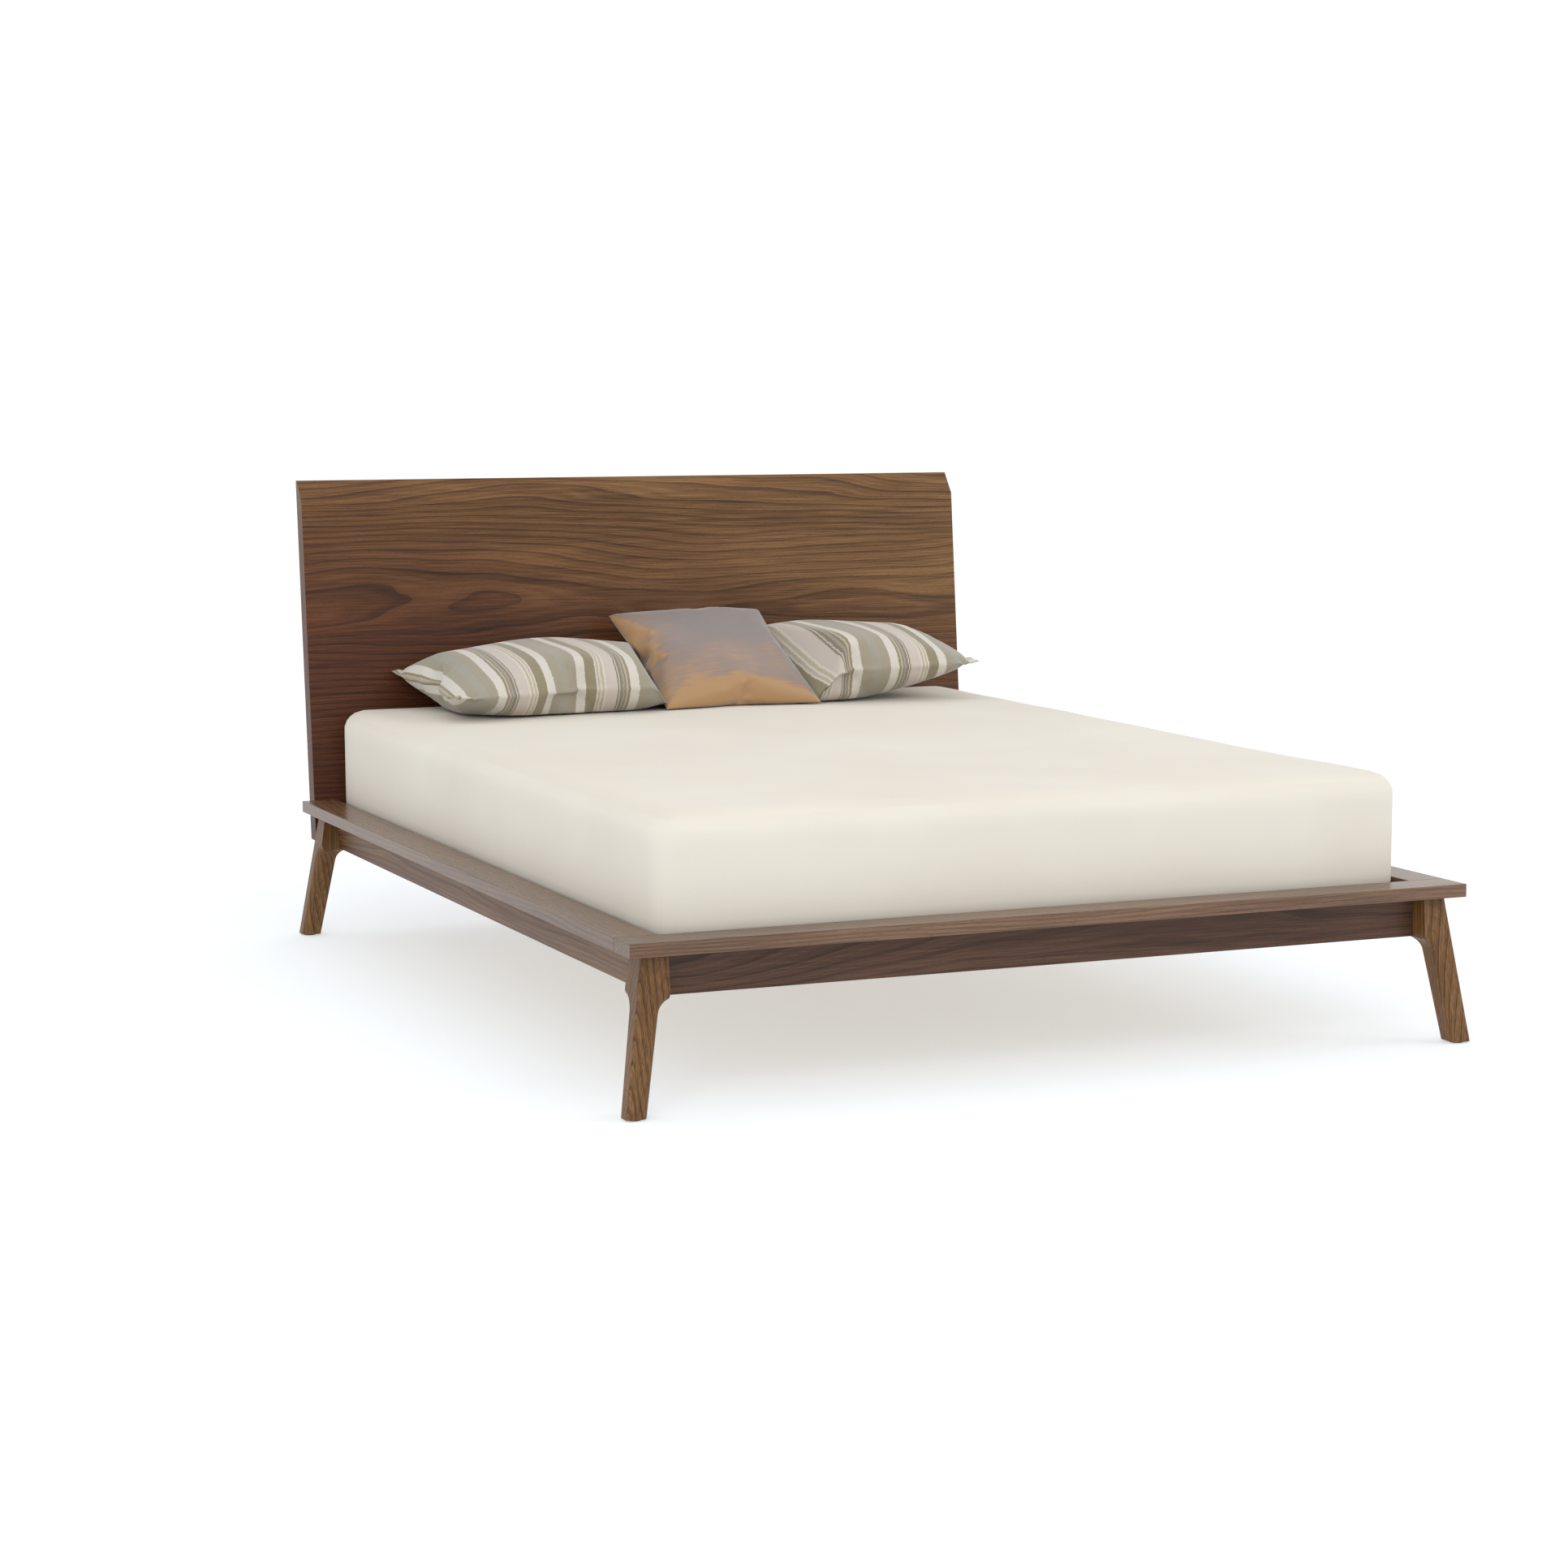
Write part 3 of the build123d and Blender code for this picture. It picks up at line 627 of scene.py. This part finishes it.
# ---------------------------------------------------------------- joinery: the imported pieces' finishes
@dataclass
class Joinery:
    """The frame's own pieces, each in the finish that it is really made of."""

    @staticmethod
    def walnut(name: str, grain: Grain, shift: tuple[float, float, float], **changes: object) -> Timber:
        """Describe one board's walnut: the same timber, cut from another place in the stem.

        Args:
            name: The board's name.
            grain: The way that its grain runs.
            shift: Where in the stem it is cut, in metres along, across and through the pattern.
            changes: Settings that differ from the common walnut's.

        Returns:
            The board's timber.
        """
        look = {"dark": "#321d0d", "middle": "#60401f", "light": "#84623c"} | changes
        return Timber(f"oiled_walnut_{name}", grain=grain, shift=shift, **look)

    def finishes(self) -> dict[str, object]:
        """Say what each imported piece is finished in.

        Returns:
            Node name to finish, with a trailing star for all names that start so.
        """
        across, along, upright = Grain.ACROSS, Grain.ALONG, Grain.UPRIGHT
        softwood = {
            "dark": "#a9824f", "middle": "#c8a878", "light": "#dcc59c",
            "pore_depth": 0.08, "ring_mm": 12.0, "roughness": 0.6,
        }
        rail = {"dark": "#2b1a10", "middle": "#493023", "light": "#604434"}
        ledge = {"gloss": 0.5, "roughness": 0.26, "dark": "#38241a", "middle": "#5f432e", "light": "#7a5b43"}
        return {
            # The headboard gets painted shade, darker and redder low down and to the left.
            "headboard_panel": self.walnut(
                "headboard", across, (0.35, -1.16, -0.73), low_tint="#c0978c", ring_mm=12.0, wander_mm=80.0,
            ),
            "foot_ledge": self.walnut("foot_ledge", across, (1.7, 1.1, -0.2), **ledge),
            "left_ledge": self.walnut("left_ledge", along, (0.4, -0.9, -0.2), **ledge),
            "right_ledge": self.walnut("right_ledge", along, (2.9, 0.9, -0.2), **ledge),
            "foot_rail": self.walnut("foot_rail", across, (3.1, 1.15, -0.3), **rail),
            "head_rail": self.walnut("head_rail", across, (4.7, -0.8, -0.3), **rail),
            "left_side_rail": self.walnut("left_rail", along, (1.9, -0.85, -0.3), middle="#5f3f28"),
            "right_side_rail": self.walnut("right_rail", along, (5.3, 0.85, -0.3), **rail),
            "foot_left_leg": self.walnut("foot_left_leg", upright, (0.3, -1.0, 0.9)),
            "foot_right_leg": self.walnut("foot_right_leg", upright, (1.3, -1.1, -0.8)),
            "head_left_leg": self.walnut("head_left_leg", upright, (2.3, 1.0, 0.8)),
            "head_right_leg": self.walnut("head_right_leg", upright, (3.3, 1.1, -0.8)),
            "left_headboard_block": self.walnut("left_block", across, (6.1, -0.9, -0.3), **rail),
            "right_headboard_block": self.walnut("right_block", across, (7.1, -0.9, -0.3), **rail),
            "left_slat_cleat": Timber(
                "planed_pine_left_cleat", grain=along, shift=(0.2, 0.7, -0.2), **softwood
            ),
            "right_slat_cleat": Timber(
                "planed_pine_right_cleat", grain=along, shift=(1.2, -0.7, -0.2), **softwood
            ),
            "centre_beam": Timber("planed_pine_beam", grain=along, shift=(2.2, 0.1, -0.3), **softwood),
            "foot_centre_leg": Timber(
                "planed_pine_foot_leg", grain=upright, shift=(0.1, 0.1, 0.0), **softwood
            ),
            "head_centre_leg": Timber(
                "planed_pine_head_leg", grain=upright, shift=(0.6, -0.5, 0.0), **softwood
            ),
            "slat_0*": Timber("planed_pine_slats", grain=across, shift=(0.3, 0.0, -0.33), **softwood),
            "slat_1*": Timber("planed_pine_far_slats", grain=across, shift=(1.9, 0.4, -0.33), **softwood),
            "*glides": MouldedNylon(),
            "*": PlatedSteel(),
        }

    def dress(self, nodes: dict[str, bpy.types.Object]) -> None:
        """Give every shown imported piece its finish.

        Args:
            nodes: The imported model's objects by name.
        """
        made = {}
        finishes = self.finishes()
        for name, node in sorted(nodes.items()):
            pattern = next(key for key in finishes if self.matches(name, key))
            if pattern not in made:
                made[pattern] = finishes[pattern].make()
            node.data.materials.clear()
            node.data.materials.append(made[pattern])
            log.info("%s is finished in %s", name, made[pattern].name)

    @staticmethod
    def matches(name: str, pattern: str) -> bool:
        """Whether a node's name fits a pattern with a star at its start or end."""
        if pattern.startswith("*"):
            return name.endswith(pattern[1:])
        if pattern.endswith("*"):
            return name.startswith(pattern[:-1])
        return name == pattern


# ---------------------------------------------------------------- mattress and fitted sheet
@dataclass
class Mattress:
    """A foam mattress in a cream fitted sheet, which turns under it and is gathered by elastic."""

    plan_radius: float = 0.058
    top_radius: float = 0.046
    bottom_radius: float = 0.022
    cell: float = 0.020
    turn_under: float = 0.085
    sheet_thickness: float = 0.0012
    core_gap: float = 0.009
    core_cell: float = 0.05
    crown: float = 0.004

    # Where the foot and head sides crease, and the creases' height and half width.
    fold_places: tuple[float, ...] = (-0.34, 0.09, 0.48)
    fold_height: float = 0.0011
    fold_width: float = 0.008

    # The sheet's slow hollows and fine ripples, on top and down the sides, and the margins that keep them
    # inside the box.
    top_hollow: float = 0.0035
    top_ripple: float = 0.0012
    top_margin: float = 0.004
    side_hollow: float = 0.0022
    side_ripple: float = 0.0009
    side_margin: float = 0.0012

    # The pleats at each corner: how far in from both sides their centre lies, their depth and their waves in
    # a full turn. The last value is the depth of the hem's gathers.
    corner_reach: float = 0.14
    pleat_depth: float = 0.0020
    pleat_waves: float = 11.0
    gather_depth: float = 0.0015

    def build(self) -> None:
        """Make the mattress and its sheet and put them on the mattress's body.

        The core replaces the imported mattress. The sheet is a second, thin piece over it.
        """
        core = self.block("mattress_core", self.core_gap, self.core_cell)
        core.data.materials.append(
            Cloth("knitted_ticking", Weave.PLAIN, ("#d9d7d2", "#e6e4de"), thread_mm=3.0, relief_mm=0.3).make()
        )
        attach(core, "mattress")
        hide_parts("mattress")
        log.info("%s built", core.name)

        sheet = self.block("fitted_sheet", self.sheet_thickness, self.cell)
        self.open_underside(sheet)
        self.crease(sheet)
        sheet.modifiers.new("Thickness", "SOLIDIFY").thickness = self.sheet_thickness
        apply_modifiers(sheet)
        bpy.ops.object.shade_smooth()
        sheet.data.materials.append(
            Cloth(
                "cream_percale", Weave.PLAIN, ("#d9d2c6", "#dfdace"), thread_mm=1.6, relief_mm=0.05, sheen=0.1
            ).make()
        )
        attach(sheet, "mattress")

    def block(self, name: str, gap: float, cell: float) -> bpy.types.Object:
        """Make a rounded box the size of the mattress, less a gap, with evenly spaced edges.

        Args:
            name: The piece's name.
            gap: How far it stays inside the mattress's box.
            cell: The spacing of its edges.

        Returns:
            The piece, at the origin with its place in its mesh.
        """
        low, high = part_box("mattress")
        size = high - low - Vector((2 * gap, 2 * gap, 2 * gap))
        deselect_all()
        bpy.ops.mesh.primitive_cube_add(size=1, location=(low + high) / 2, scale=size)
        piece = bpy.context.active_object
        piece.name = name
        settle_transform(piece)
        for axis in range(3):
            mesh = piece.data
            select_only(piece)
            bpy.ops.object.mode_set(mode="EDIT")
            bpy.ops.mesh.select_mode(type="EDGE")
            bpy.ops.mesh.select_all(action="DESELECT")
            bpy.ops.object.mode_set(mode="OBJECT")
            for edge in mesh.edges:
                run = mesh.vertices[edge.vertices[0]].co - mesh.vertices[edge.vertices[1]].co
                edge.select = abs(run[axis]) > 0.9 * run.length
            bpy.ops.object.mode_set(mode="EDIT")
            bpy.ops.mesh.subdivide(number_cuts=max(1, round(size[axis] / cell) - 1))
            bpy.ops.object.mode_set(mode="OBJECT")
        self.write_flat_pattern(piece)
        self.round_off(piece, (low + high) / 2, size)
        bpy.ops.object.shade_smooth()
        return piece

    def write_flat_pattern(self, piece: bpy.types.Object) -> None:
        """Store the cloth's own coordinates: the plan on top, and the run down each side.

        Args:
            piece: The square-edged box.
        """
        mesh = piece.data
        layer = mesh.uv_layers.new(name="cloth")
        for face in mesh.polygons:
            upright = abs(face.normal.z) < 0.5
            sideways = abs(face.normal.x) > 0.5
            for loop_index in face.loop_indices:
                co = mesh.vertices[mesh.loops[loop_index].vertex_index].co
                uv = (co.x, co.y)
                if upright and sideways:
                    uv = (co.z, co.y)
                elif upright:
                    uv = (co.x, co.z)
                layer.data[loop_index].uv = uv

    def round_off(self, piece: bpy.types.Object, centre: Vector, size: Vector) -> None:
        """Round the box's upright corners in plan, then its top and bottom edges in section.

        Args:
            piece: The square-edged box.
            centre: The box's middle.
            size: The box's size.
        """
        half = size / 2
        plan = self.plan_radius
        for vertex in piece.data.vertices:
            p = vertex.co - centre
            kept = Vector((self.clamp(p.x, half.x - plan), self.clamp(p.y, half.y - plan)))
            out = Vector((p.x, p.y)) - kept
            reach = out.length
            if reach > 1e-9:
                out *= max(abs(out.x), abs(out.y)) / reach
                reach = out.length
                edge = self.top_radius if p.z > 0 else self.bottom_radius
                beyond = reach - (plan - edge)
                rise = abs(p.z) - (half.z - edge)
                if beyond > 0 and rise > 0:
                    pull = max(beyond, rise) / math.hypot(beyond, rise)
                    out *= (plan - edge + beyond * pull) / reach
                    p.z = math.copysign(half.z - edge + rise * pull, p.z)
            vertex.co = centre + Vector((kept.x + out.x, kept.y + out.y, p.z))

    @staticmethod
    def clamp(value: float, limit: float) -> float:
        """Hold a value between minus and plus a limit."""
        return max(-limit, min(limit, value))

    def open_underside(self, sheet: bpy.types.Object) -> None:
        """Delete the underside's middle, leaving the hem that turns under.

        Args:
            sheet: The closed sheet.
        """
        low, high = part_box("mattress")
        mesh = sheet.data
        select_only(sheet)
        bpy.ops.object.mode_set(mode="EDIT")
        bpy.ops.mesh.select_mode(type="FACE")
        bpy.ops.mesh.select_all(action="DESELECT")
        bpy.ops.object.mode_set(mode="OBJECT")
        for face in mesh.polygons:
            inside = min(
                face.center.x - low.x, high.x - face.center.x, face.center.y - low.y, high.y - face.center.y
            )
            face.select = face.center.z < low.z + 0.004 and inside > self.turn_under
        bpy.ops.object.mode_set(mode="EDIT")
        bpy.ops.mesh.delete(type="FACE")
        bpy.ops.object.mode_set(mode="OBJECT")

    def crease(self, sheet: bpy.types.Object) -> None:
        """Give the sheet its slow hollows, its upright creases and the pull of its corners.

        Args:
            sheet: The smooth sheet.
        """
        low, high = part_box("mattress")
        centre = (low + high) / 2
        half = (high - low) / 2
        reach = self.corner_reach
        for vertex in sheet.data.vertices:
            p = vertex.co
            top = smooth_step(p.z, high.z - 0.05, high.z)
            across = (p.x - centre.x) / half.x
            along = (p.y - centre.y) / half.y
            hollow = self.top_hollow * noise.noise(Vector((p.x * 2.3, p.y * 2.3, 0.3)))
            hollow += self.top_ripple * noise.noise(Vector((p.x * 9.0, p.y * 6.0, 4.1)))
            rise = self.crown * (1 - across * across) * (1 - along * along)
            p.z += top * (hollow - self.top_margin + rise)
            side = smooth_step(high.z - p.z, 0.02, 0.09)
            outward = Vector((p.x - centre.x, p.y - centre.y, 0.0))
            facing_y = abs(outward.y) / half.y > abs(outward.x) / half.x
            run = p.x if facing_y else p.y
            push = self.side_hollow * noise.noise(Vector((run * 5.0, p.z * 2.0, 7.7)))
            push += self.side_ripple * noise.noise(Vector((run * 24.0, p.z * 3.5, 2.2)))
            if facing_y:
                push += sum(
                    self.fold_height * math.exp(-(((run - fold) / self.fold_width) ** 2))
                    for fold in self.fold_places
                )
            past_x = abs(outward.x) - half.x + reach
            past_y = abs(outward.y) - half.y + reach
            corner = math.hypot(max(0.0, past_x), max(0.0, past_y))
            if corner > reach:
                pleat = math.sin(math.atan2(past_y, past_x) * self.pleat_waves)
                push += self.pleat_depth * pleat * smooth_step(corner, reach, reach + 0.03) - 0.001
            if facing_y:
                direction = Vector((0, math.copysign(1, outward.y), 0))
            else:
                direction = Vector((math.copysign(1, outward.x), 0, 0))
            p += direction * (side * (push - self.side_margin))
            if p.z < low.z + 0.01:
                gathers = noise.noise(Vector((p.x * 30.0, p.y * 30.0, 1.0)))
                p.z = max(low.z + 0.0004, p.z + self.gather_depth * gathers)


# ---------------------------------------------------------------- stuffed covers
@dataclass
class StuffedCover:
    """Two cloth panels sewn edge to edge and filled: a pillow or a cushion.

    The cover is sewn flat, then blown up by cloth simulation, which draws its sides in between its
    corners and puckers it along the seam. The filling stops once the cover is thick enough. The filled
    cover is then scaled on each axis to its width, its length and twice its crown.
    """

    name: str
    body: str
    slot: str
    finish: Cloth
    width: float
    length: float
    fill: float
    cell: float
    turn: tuple[float, float, float]
    middle: tuple[float, float, float]
    frames: int = 24
    loft: float = 0.014
    crown: float = 0.05
    seam_crease: float = 0.85
    rough_spread: float = 0.93
    rough_waist: float = 0.05

    def sew(self) -> bpy.types.Object:
        """Sew the flat cover about the origin.

        Returns:
            A closed thin slab of square cells, with its flat pattern stored.
        """
        deselect_all()
        bpy.ops.mesh.primitive_grid_add(
            x_subdivisions=round(self.width / self.cell),
            y_subdivisions=round(self.length / self.cell),
            size=1,
        )
        cover = bpy.context.active_object
        cover.name = self.name
        cover.scale = (self.width, self.length, 1)
        settle_transform(cover)
        bpy.ops.object.mode_set(mode="EDIT")
        bpy.ops.mesh.select_all(action="SELECT")
        bpy.ops.mesh.extrude_region_move(TRANSFORM_OT_translate={"value": (0, 0, 2 * MM)})
        bpy.ops.mesh.select_all(action="SELECT")
        bpy.ops.mesh.normals_make_consistent(inside=False)
        bpy.ops.object.mode_set(mode="OBJECT")
        self.merge_rim(cover)
        mesh = cover.data
        layer = mesh.uv_layers.new(name="cloth")
        for face in mesh.polygons:
            for loop_index in face.loop_indices:
                co = mesh.vertices[mesh.loops[loop_index].vertex_index].co
                layer.data[loop_index].uv = (co.x, co.y)
        return cover

    def merge_rim(self, cover: bpy.types.Object) -> None:
        """Close the slab's rim to a single seam, and plump its middle a little.

        Args:
            cover: The flat slab.
        """
        half_w, half_l = self.width / 2, self.length / 2
        for vertex in cover.data.vertices:
            p = vertex.co
            upper = p.z > MM
            inward = min(half_w - abs(p.x), half_l - abs(p.y))
            rise = self.loft * min(1.0, max(0.0, inward) / (3 * self.cell)) ** 0.5
            p.z = rise if upper else -rise
        select_only(cover)
        bpy.ops.object.mode_set(mode="EDIT")
        bpy.ops.mesh.select_all(action="SELECT")
        bpy.ops.mesh.remove_doubles(threshold=0.1 * MM)
        bpy.ops.mesh.normals_make_consistent(inside=False)
        bpy.ops.object.mode_set(mode="OBJECT")

    def inflate(self, cover: bpy.types.Object) -> None:
        """Fill the cover, and mark its seam so that smoothing keeps it sharp.

        Args:
            cover: The flat cover about the origin.
        """
        half_w, half_l = self.width / 2, self.length / 2
        seam = [min(half_w - abs(v.co.x), half_l - abs(v.co.y)) < 0.5 * MM for v in cover.data.vertices]
        self.fill_by_simulation(cover)
        crease = cover.data.attributes.new("crease_edge", "FLOAT", "EDGE")
        for edge in cover.data.edges:
            sewn = seam[edge.vertices[0]] and seam[edge.vertices[1]]
            crease.data[edge.index].value = self.seam_crease if sewn else 0

    def fill_by_simulation(self, cover: bpy.types.Object) -> None:
        """Blow the cover up until it is as thick as its crown, then scale it to its sizes on each axis.

        Args:
            cover: The flat cover about the origin.
        """
        cloth = cover.modifiers.new("Filling", "CLOTH")
        settings = cloth.settings
        settings.quality = 5
        settings.mass = 0.15
        settings.tension_stiffness = 12
        settings.compression_stiffness = 6
        settings.shear_stiffness = 3
        settings.bending_stiffness = 0.15
        settings.use_pressure = True
        settings.uniform_pressure_force = self.fill
        settings.effector_weights.gravity = 0
        settings.air_damping = 2
        cloth.collision_settings.use_collision = False
        scene = bpy.context.scene
        for frame in range(1, self.frames + 1):
            scene.frame_set(frame)
            filled = cover.evaluated_get(bpy.context.evaluated_depsgraph_get())
            swollen = max(abs(v.co.z) for v in filled.data.vertices)
            if swollen > self.crown:
                break
        log.info("%s filled to %.3f m in %d frames", self.name, swollen, frame)
        apply_modifiers(cover)
        scene.frame_set(1)
        for axis, wanted in enumerate((self.width, self.length, 2 * self.crown)):
            reach = max(abs(v.co[axis]) for v in cover.data.vertices)
            for vertex in cover.data.vertices:
                vertex.co[axis] *= wanted / 2 / reach

    def place(self) -> Matrix:
        """Say how the cover lies: turned, then moved from the origin to its middle."""
        return Matrix.Translation(self.middle) @ Euler(self.turn).to_matrix().to_4x4()

    def lay(self, cover: bpy.types.Object) -> None:
        """Turn the cover and put it in its place."""
        cover.data.transform(self.place())

    def rest_on(self, cover: bpy.types.Object, level: float) -> None:
        """Flatten what would sink below a level.

        Args:
            cover: The cover, in its place.
            level: The height of what it lies on.
        """
        for vertex in cover.data.vertices:
            if vertex.co.z < level:
                vertex.co.z = level

    def finish_off(self, cover: bpy.types.Object) -> None:
        """Smooth the cover, give it its cloth and put it on its body.

        Args:
            cover: The filled cover, in its place.
        """
        cover.modifiers.new("Smooth cloth", "SUBSURF")
        apply_modifiers(cover)
        select_only(cover)
        bpy.ops.object.shade_smooth()
        cover.data.materials.clear()
        cover.data.materials.append(self.finish.make())
        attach(cover, self.body)
        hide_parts(self.body)
        low = Vector(min(v.co[i] for v in cover.data.vertices) for i in range(3))
        high = Vector(max(v.co[i] for v in cover.data.vertices) for i in range(3))
        log.info("%s spans %s to %s", cover.name, [round(x, 3) for x in low], [round(x, 3) for x in high])


@dataclass
class Bedding:
    """The two pillows and the cushion that leans on their inner ends."""

    stripe_colours: tuple[str, ...] = (
        "#9a9588", "#9a9280", "#cdc7bd", "#8b8269", "#b5a994", "#c2b7ad", "#837969",
    )
    # The shot silk's grey-mauve, middle and copper. Which of them shows is painted sheen, picked by the way
    # the cloth faces.
    silk_colours: tuple[str, ...] = ("#786e6b", "#8c7465", "#a98358")

    # The dent under the cushion: its share of the cushion's size, the tuck at its front edge, the soft rim
    # inside and outside its edge, the gap below the cushion, and how steeply it rises outside its edge.
    dent_share: float = 0.93
    dent_tuck: float = 0.02
    dent_rim_in: float = 0.05
    dent_rim_out: float = 0.04
    dent_gap: float = 4 * MM
    dent_slope: float = 1.3

    def build(self) -> None:
        """Make the covers, rest them on the mattress and press the pillows under the cushion.

        The dent follows the cushion's stated sizes and place, not its filled shape.
        """
        _, mattress_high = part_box("mattress")
        level = mattress_high.z + 1.0 * MM
        head = mattress_high.y
        silk = Cloth(
            "shot_silk", Weave.SHOT, self.silk_colours, thread_mm=1.4, relief_mm=0.08, roughness=0.38,
            sheen=0.5,
        )
        cushion = StuffedCover(
            name="silk_cushion", body="throw_cushion", slot="cushion_cloth", finish=silk,
            width=0.385, length=0.40, fill=1.6, cell=0.008, turn=(math.radians(28), 0, math.radians(1)),
            middle=(0.080, head - 0.188, level + 0.094), crown=0.058,
        )
        cushion_piece = cushion.sew()
        cushion.inflate(cushion_piece)
        cushion.lay(cushion_piece)
        cushion.rest_on(cushion_piece, level)
        for name, start, middle, turn in (
            ("left_pillow", 40.0, (-0.314, head - 0.190, level + 0.062), (0.05, -0.01, 0.03)),
            ("right_pillow", 150.0, (0.345, head - 0.170, level + 0.080), (0.05, -0.04, 0.10)),
        ):
            striped = Cloth(
                f"striped_cotton_{name}", Weave.STRIPED, self.stripe_colours, thread_mm=1.8, relief_mm=0.16,
                stripe_start_mm=start,
            )
            pillow = StuffedCover(
                name=f"striped_{name}", body=name, slot="pillow_cloth", finish=striped,
                width=0.62, length=0.46, fill=1.6, cell=0.010, turn=turn, middle=middle, crown=0.080,
            )
            piece = pillow.sew()
            pillow.inflate(piece)
            pillow.lay(piece)
            pillow.rest_on(piece, level)
            self.press(piece, cushion, level)
            pillow.finish_off(piece)
        cushion.finish_off(cushion_piece)

    def press(self, pillow: bpy.types.Object, cushion: StuffedCover, level: float) -> None:
        """Push a pillow out from under the cushion, square to the cushion, with a soft rim to the dent.

        Args:
            pillow: The pillow, in its place.
            cushion: The cushion above it.
            level: The height of the mattress.
        """
        place = cushion.place()
        back = place.inverted()
        half_w, half_l = cushion.width / 2 * self.dent_share, cushion.length / 2 * self.dent_share
        front = cushion.middle[1] - half_l * math.cos(cushion.turn[0]) + self.dent_tuck
        for vertex in pillow.data.vertices:
            aside = abs(vertex.co.x - cushion.middle[0])
            tucked = 1 - smooth_step(aside, half_w - self.dent_rim_in, half_w + self.dent_rim_out)
            vertex.co.y += tucked * max(0.0, front - vertex.co.y)
            p = back @ vertex.co
            outside = max(abs(p.x) - half_w, abs(p.y) - half_l, 0.0)
            u, v = min(1.0, abs(p.x) / half_w), min(1.0, abs(p.y) / half_l)
            belly = -cushion.crown * (max(0.0, 1 - u**3) * max(0.0, 1 - v**3)) ** 0.55
            floor = belly - self.dent_gap + self.dent_slope * outside
            if p.z > floor:
                p.z = floor
                vertex.co = place @ p
            vertex.co.z = max(vertex.co.z, level)


# ---------------------------------------------------------------- studio
@dataclass
class Studio:
    """A pale floor, soft light from above and the front, and the camera."""

    eye: tuple[float, float, float] = (-2.8099, -6.2660, 1.2602)
    heading: float = -23.478
    dip: float = 7.039
    lens: float = 76.29
    floor_size: float = 60.0
    floor_glow: float = 0.46
    floor_colour: tuple[float, float, float, float] = (0.52, 0.56, 0.59, 1)
    air_strength: float = 1.02

    def build(self) -> None:
        """Set the stage: the floor, the air's even light, three lamps and the camera.

        The floor glows, so that it comes out white without a strong light on the bed.
        """
        deselect_all()
        bpy.ops.mesh.primitive_plane_add(size=self.floor_size)
        floor = bpy.context.active_object
        floor.name = "studio_floor"
        paint, _, shader = new_material("matt_white_paint")
        shader.inputs["Base Color"].default_value = self.floor_colour
        shader.inputs["Roughness"].default_value = 0.9
        shader.inputs["Emission Color"].default_value = (1.0, 1.0, 1.0, 1)
        shader.inputs["Emission Strength"].default_value = self.floor_glow
        floor.data.materials.append(paint)

        world = bpy.data.worlds.new("studio_air")
        world.use_nodes = True
        world.node_tree.nodes["Background"].inputs["Color"].default_value = (1.0, 1.0, 1.0, 1)
        world.node_tree.nodes["Background"].inputs["Strength"].default_value = self.air_strength
        bpy.context.scene.world = world

        self.lamp("top_softbox", (-0.6, -0.8, 4.2), (0, 0, 0.3), 5.0, 6)
        self.lamp("front_softbox", (-3.6, -5.2, 3.4), (0, 0, 0.4), 3.0, 95)
        self.lamp("right_softbox", (4.6, -2.6, 3.0), (0, 0.2, 0.5), 2.5, 55)

        camera = bpy.data.objects.new("camera", bpy.data.cameras.new("camera"))
        bpy.context.scene.collection.objects.link(camera)
        camera.location = self.eye
        camera.rotation_euler = (math.radians(90 - self.dip), 0, math.radians(self.heading))
        camera.data.lens = self.lens
        camera.data.sensor_width = 36
        bpy.context.scene.camera = camera
        bpy.context.scene.view_settings.view_transform = "Standard"

    @staticmethod
    def lamp(
        name: str,
        at: tuple[float, float, float],
        towards: tuple[float, float, float],
        size: float,
        power: float,
    ) -> None:
        """Add one square soft light.

        Args:
            name: The lamp's name.
            at: Where it stands.
            towards: The point that it faces.
            size: The length of its sides in metres.
            power: Its power in watts.
        """
        data = bpy.data.lights.new(name, "AREA")
        data.size = size
        data.energy = power
        lamp = bpy.data.objects.new(name, data)
        bpy.context.scene.collection.objects.link(lamp)
        lamp.location = at
        lamp.rotation_euler = (Vector(towards) - Vector(at)).to_track_quat("-Z", "Y").to_euler()


def main() -> None:
    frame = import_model()
    Studio().build()
    Joinery().dress(frame["nodes"])
    Mattress().build()
    Bedding().build()
    log.info("sizes written")


if __name__ == "__main__":
    logging.basicConfig(level=logging.INFO, format="%(message)s")
    main()
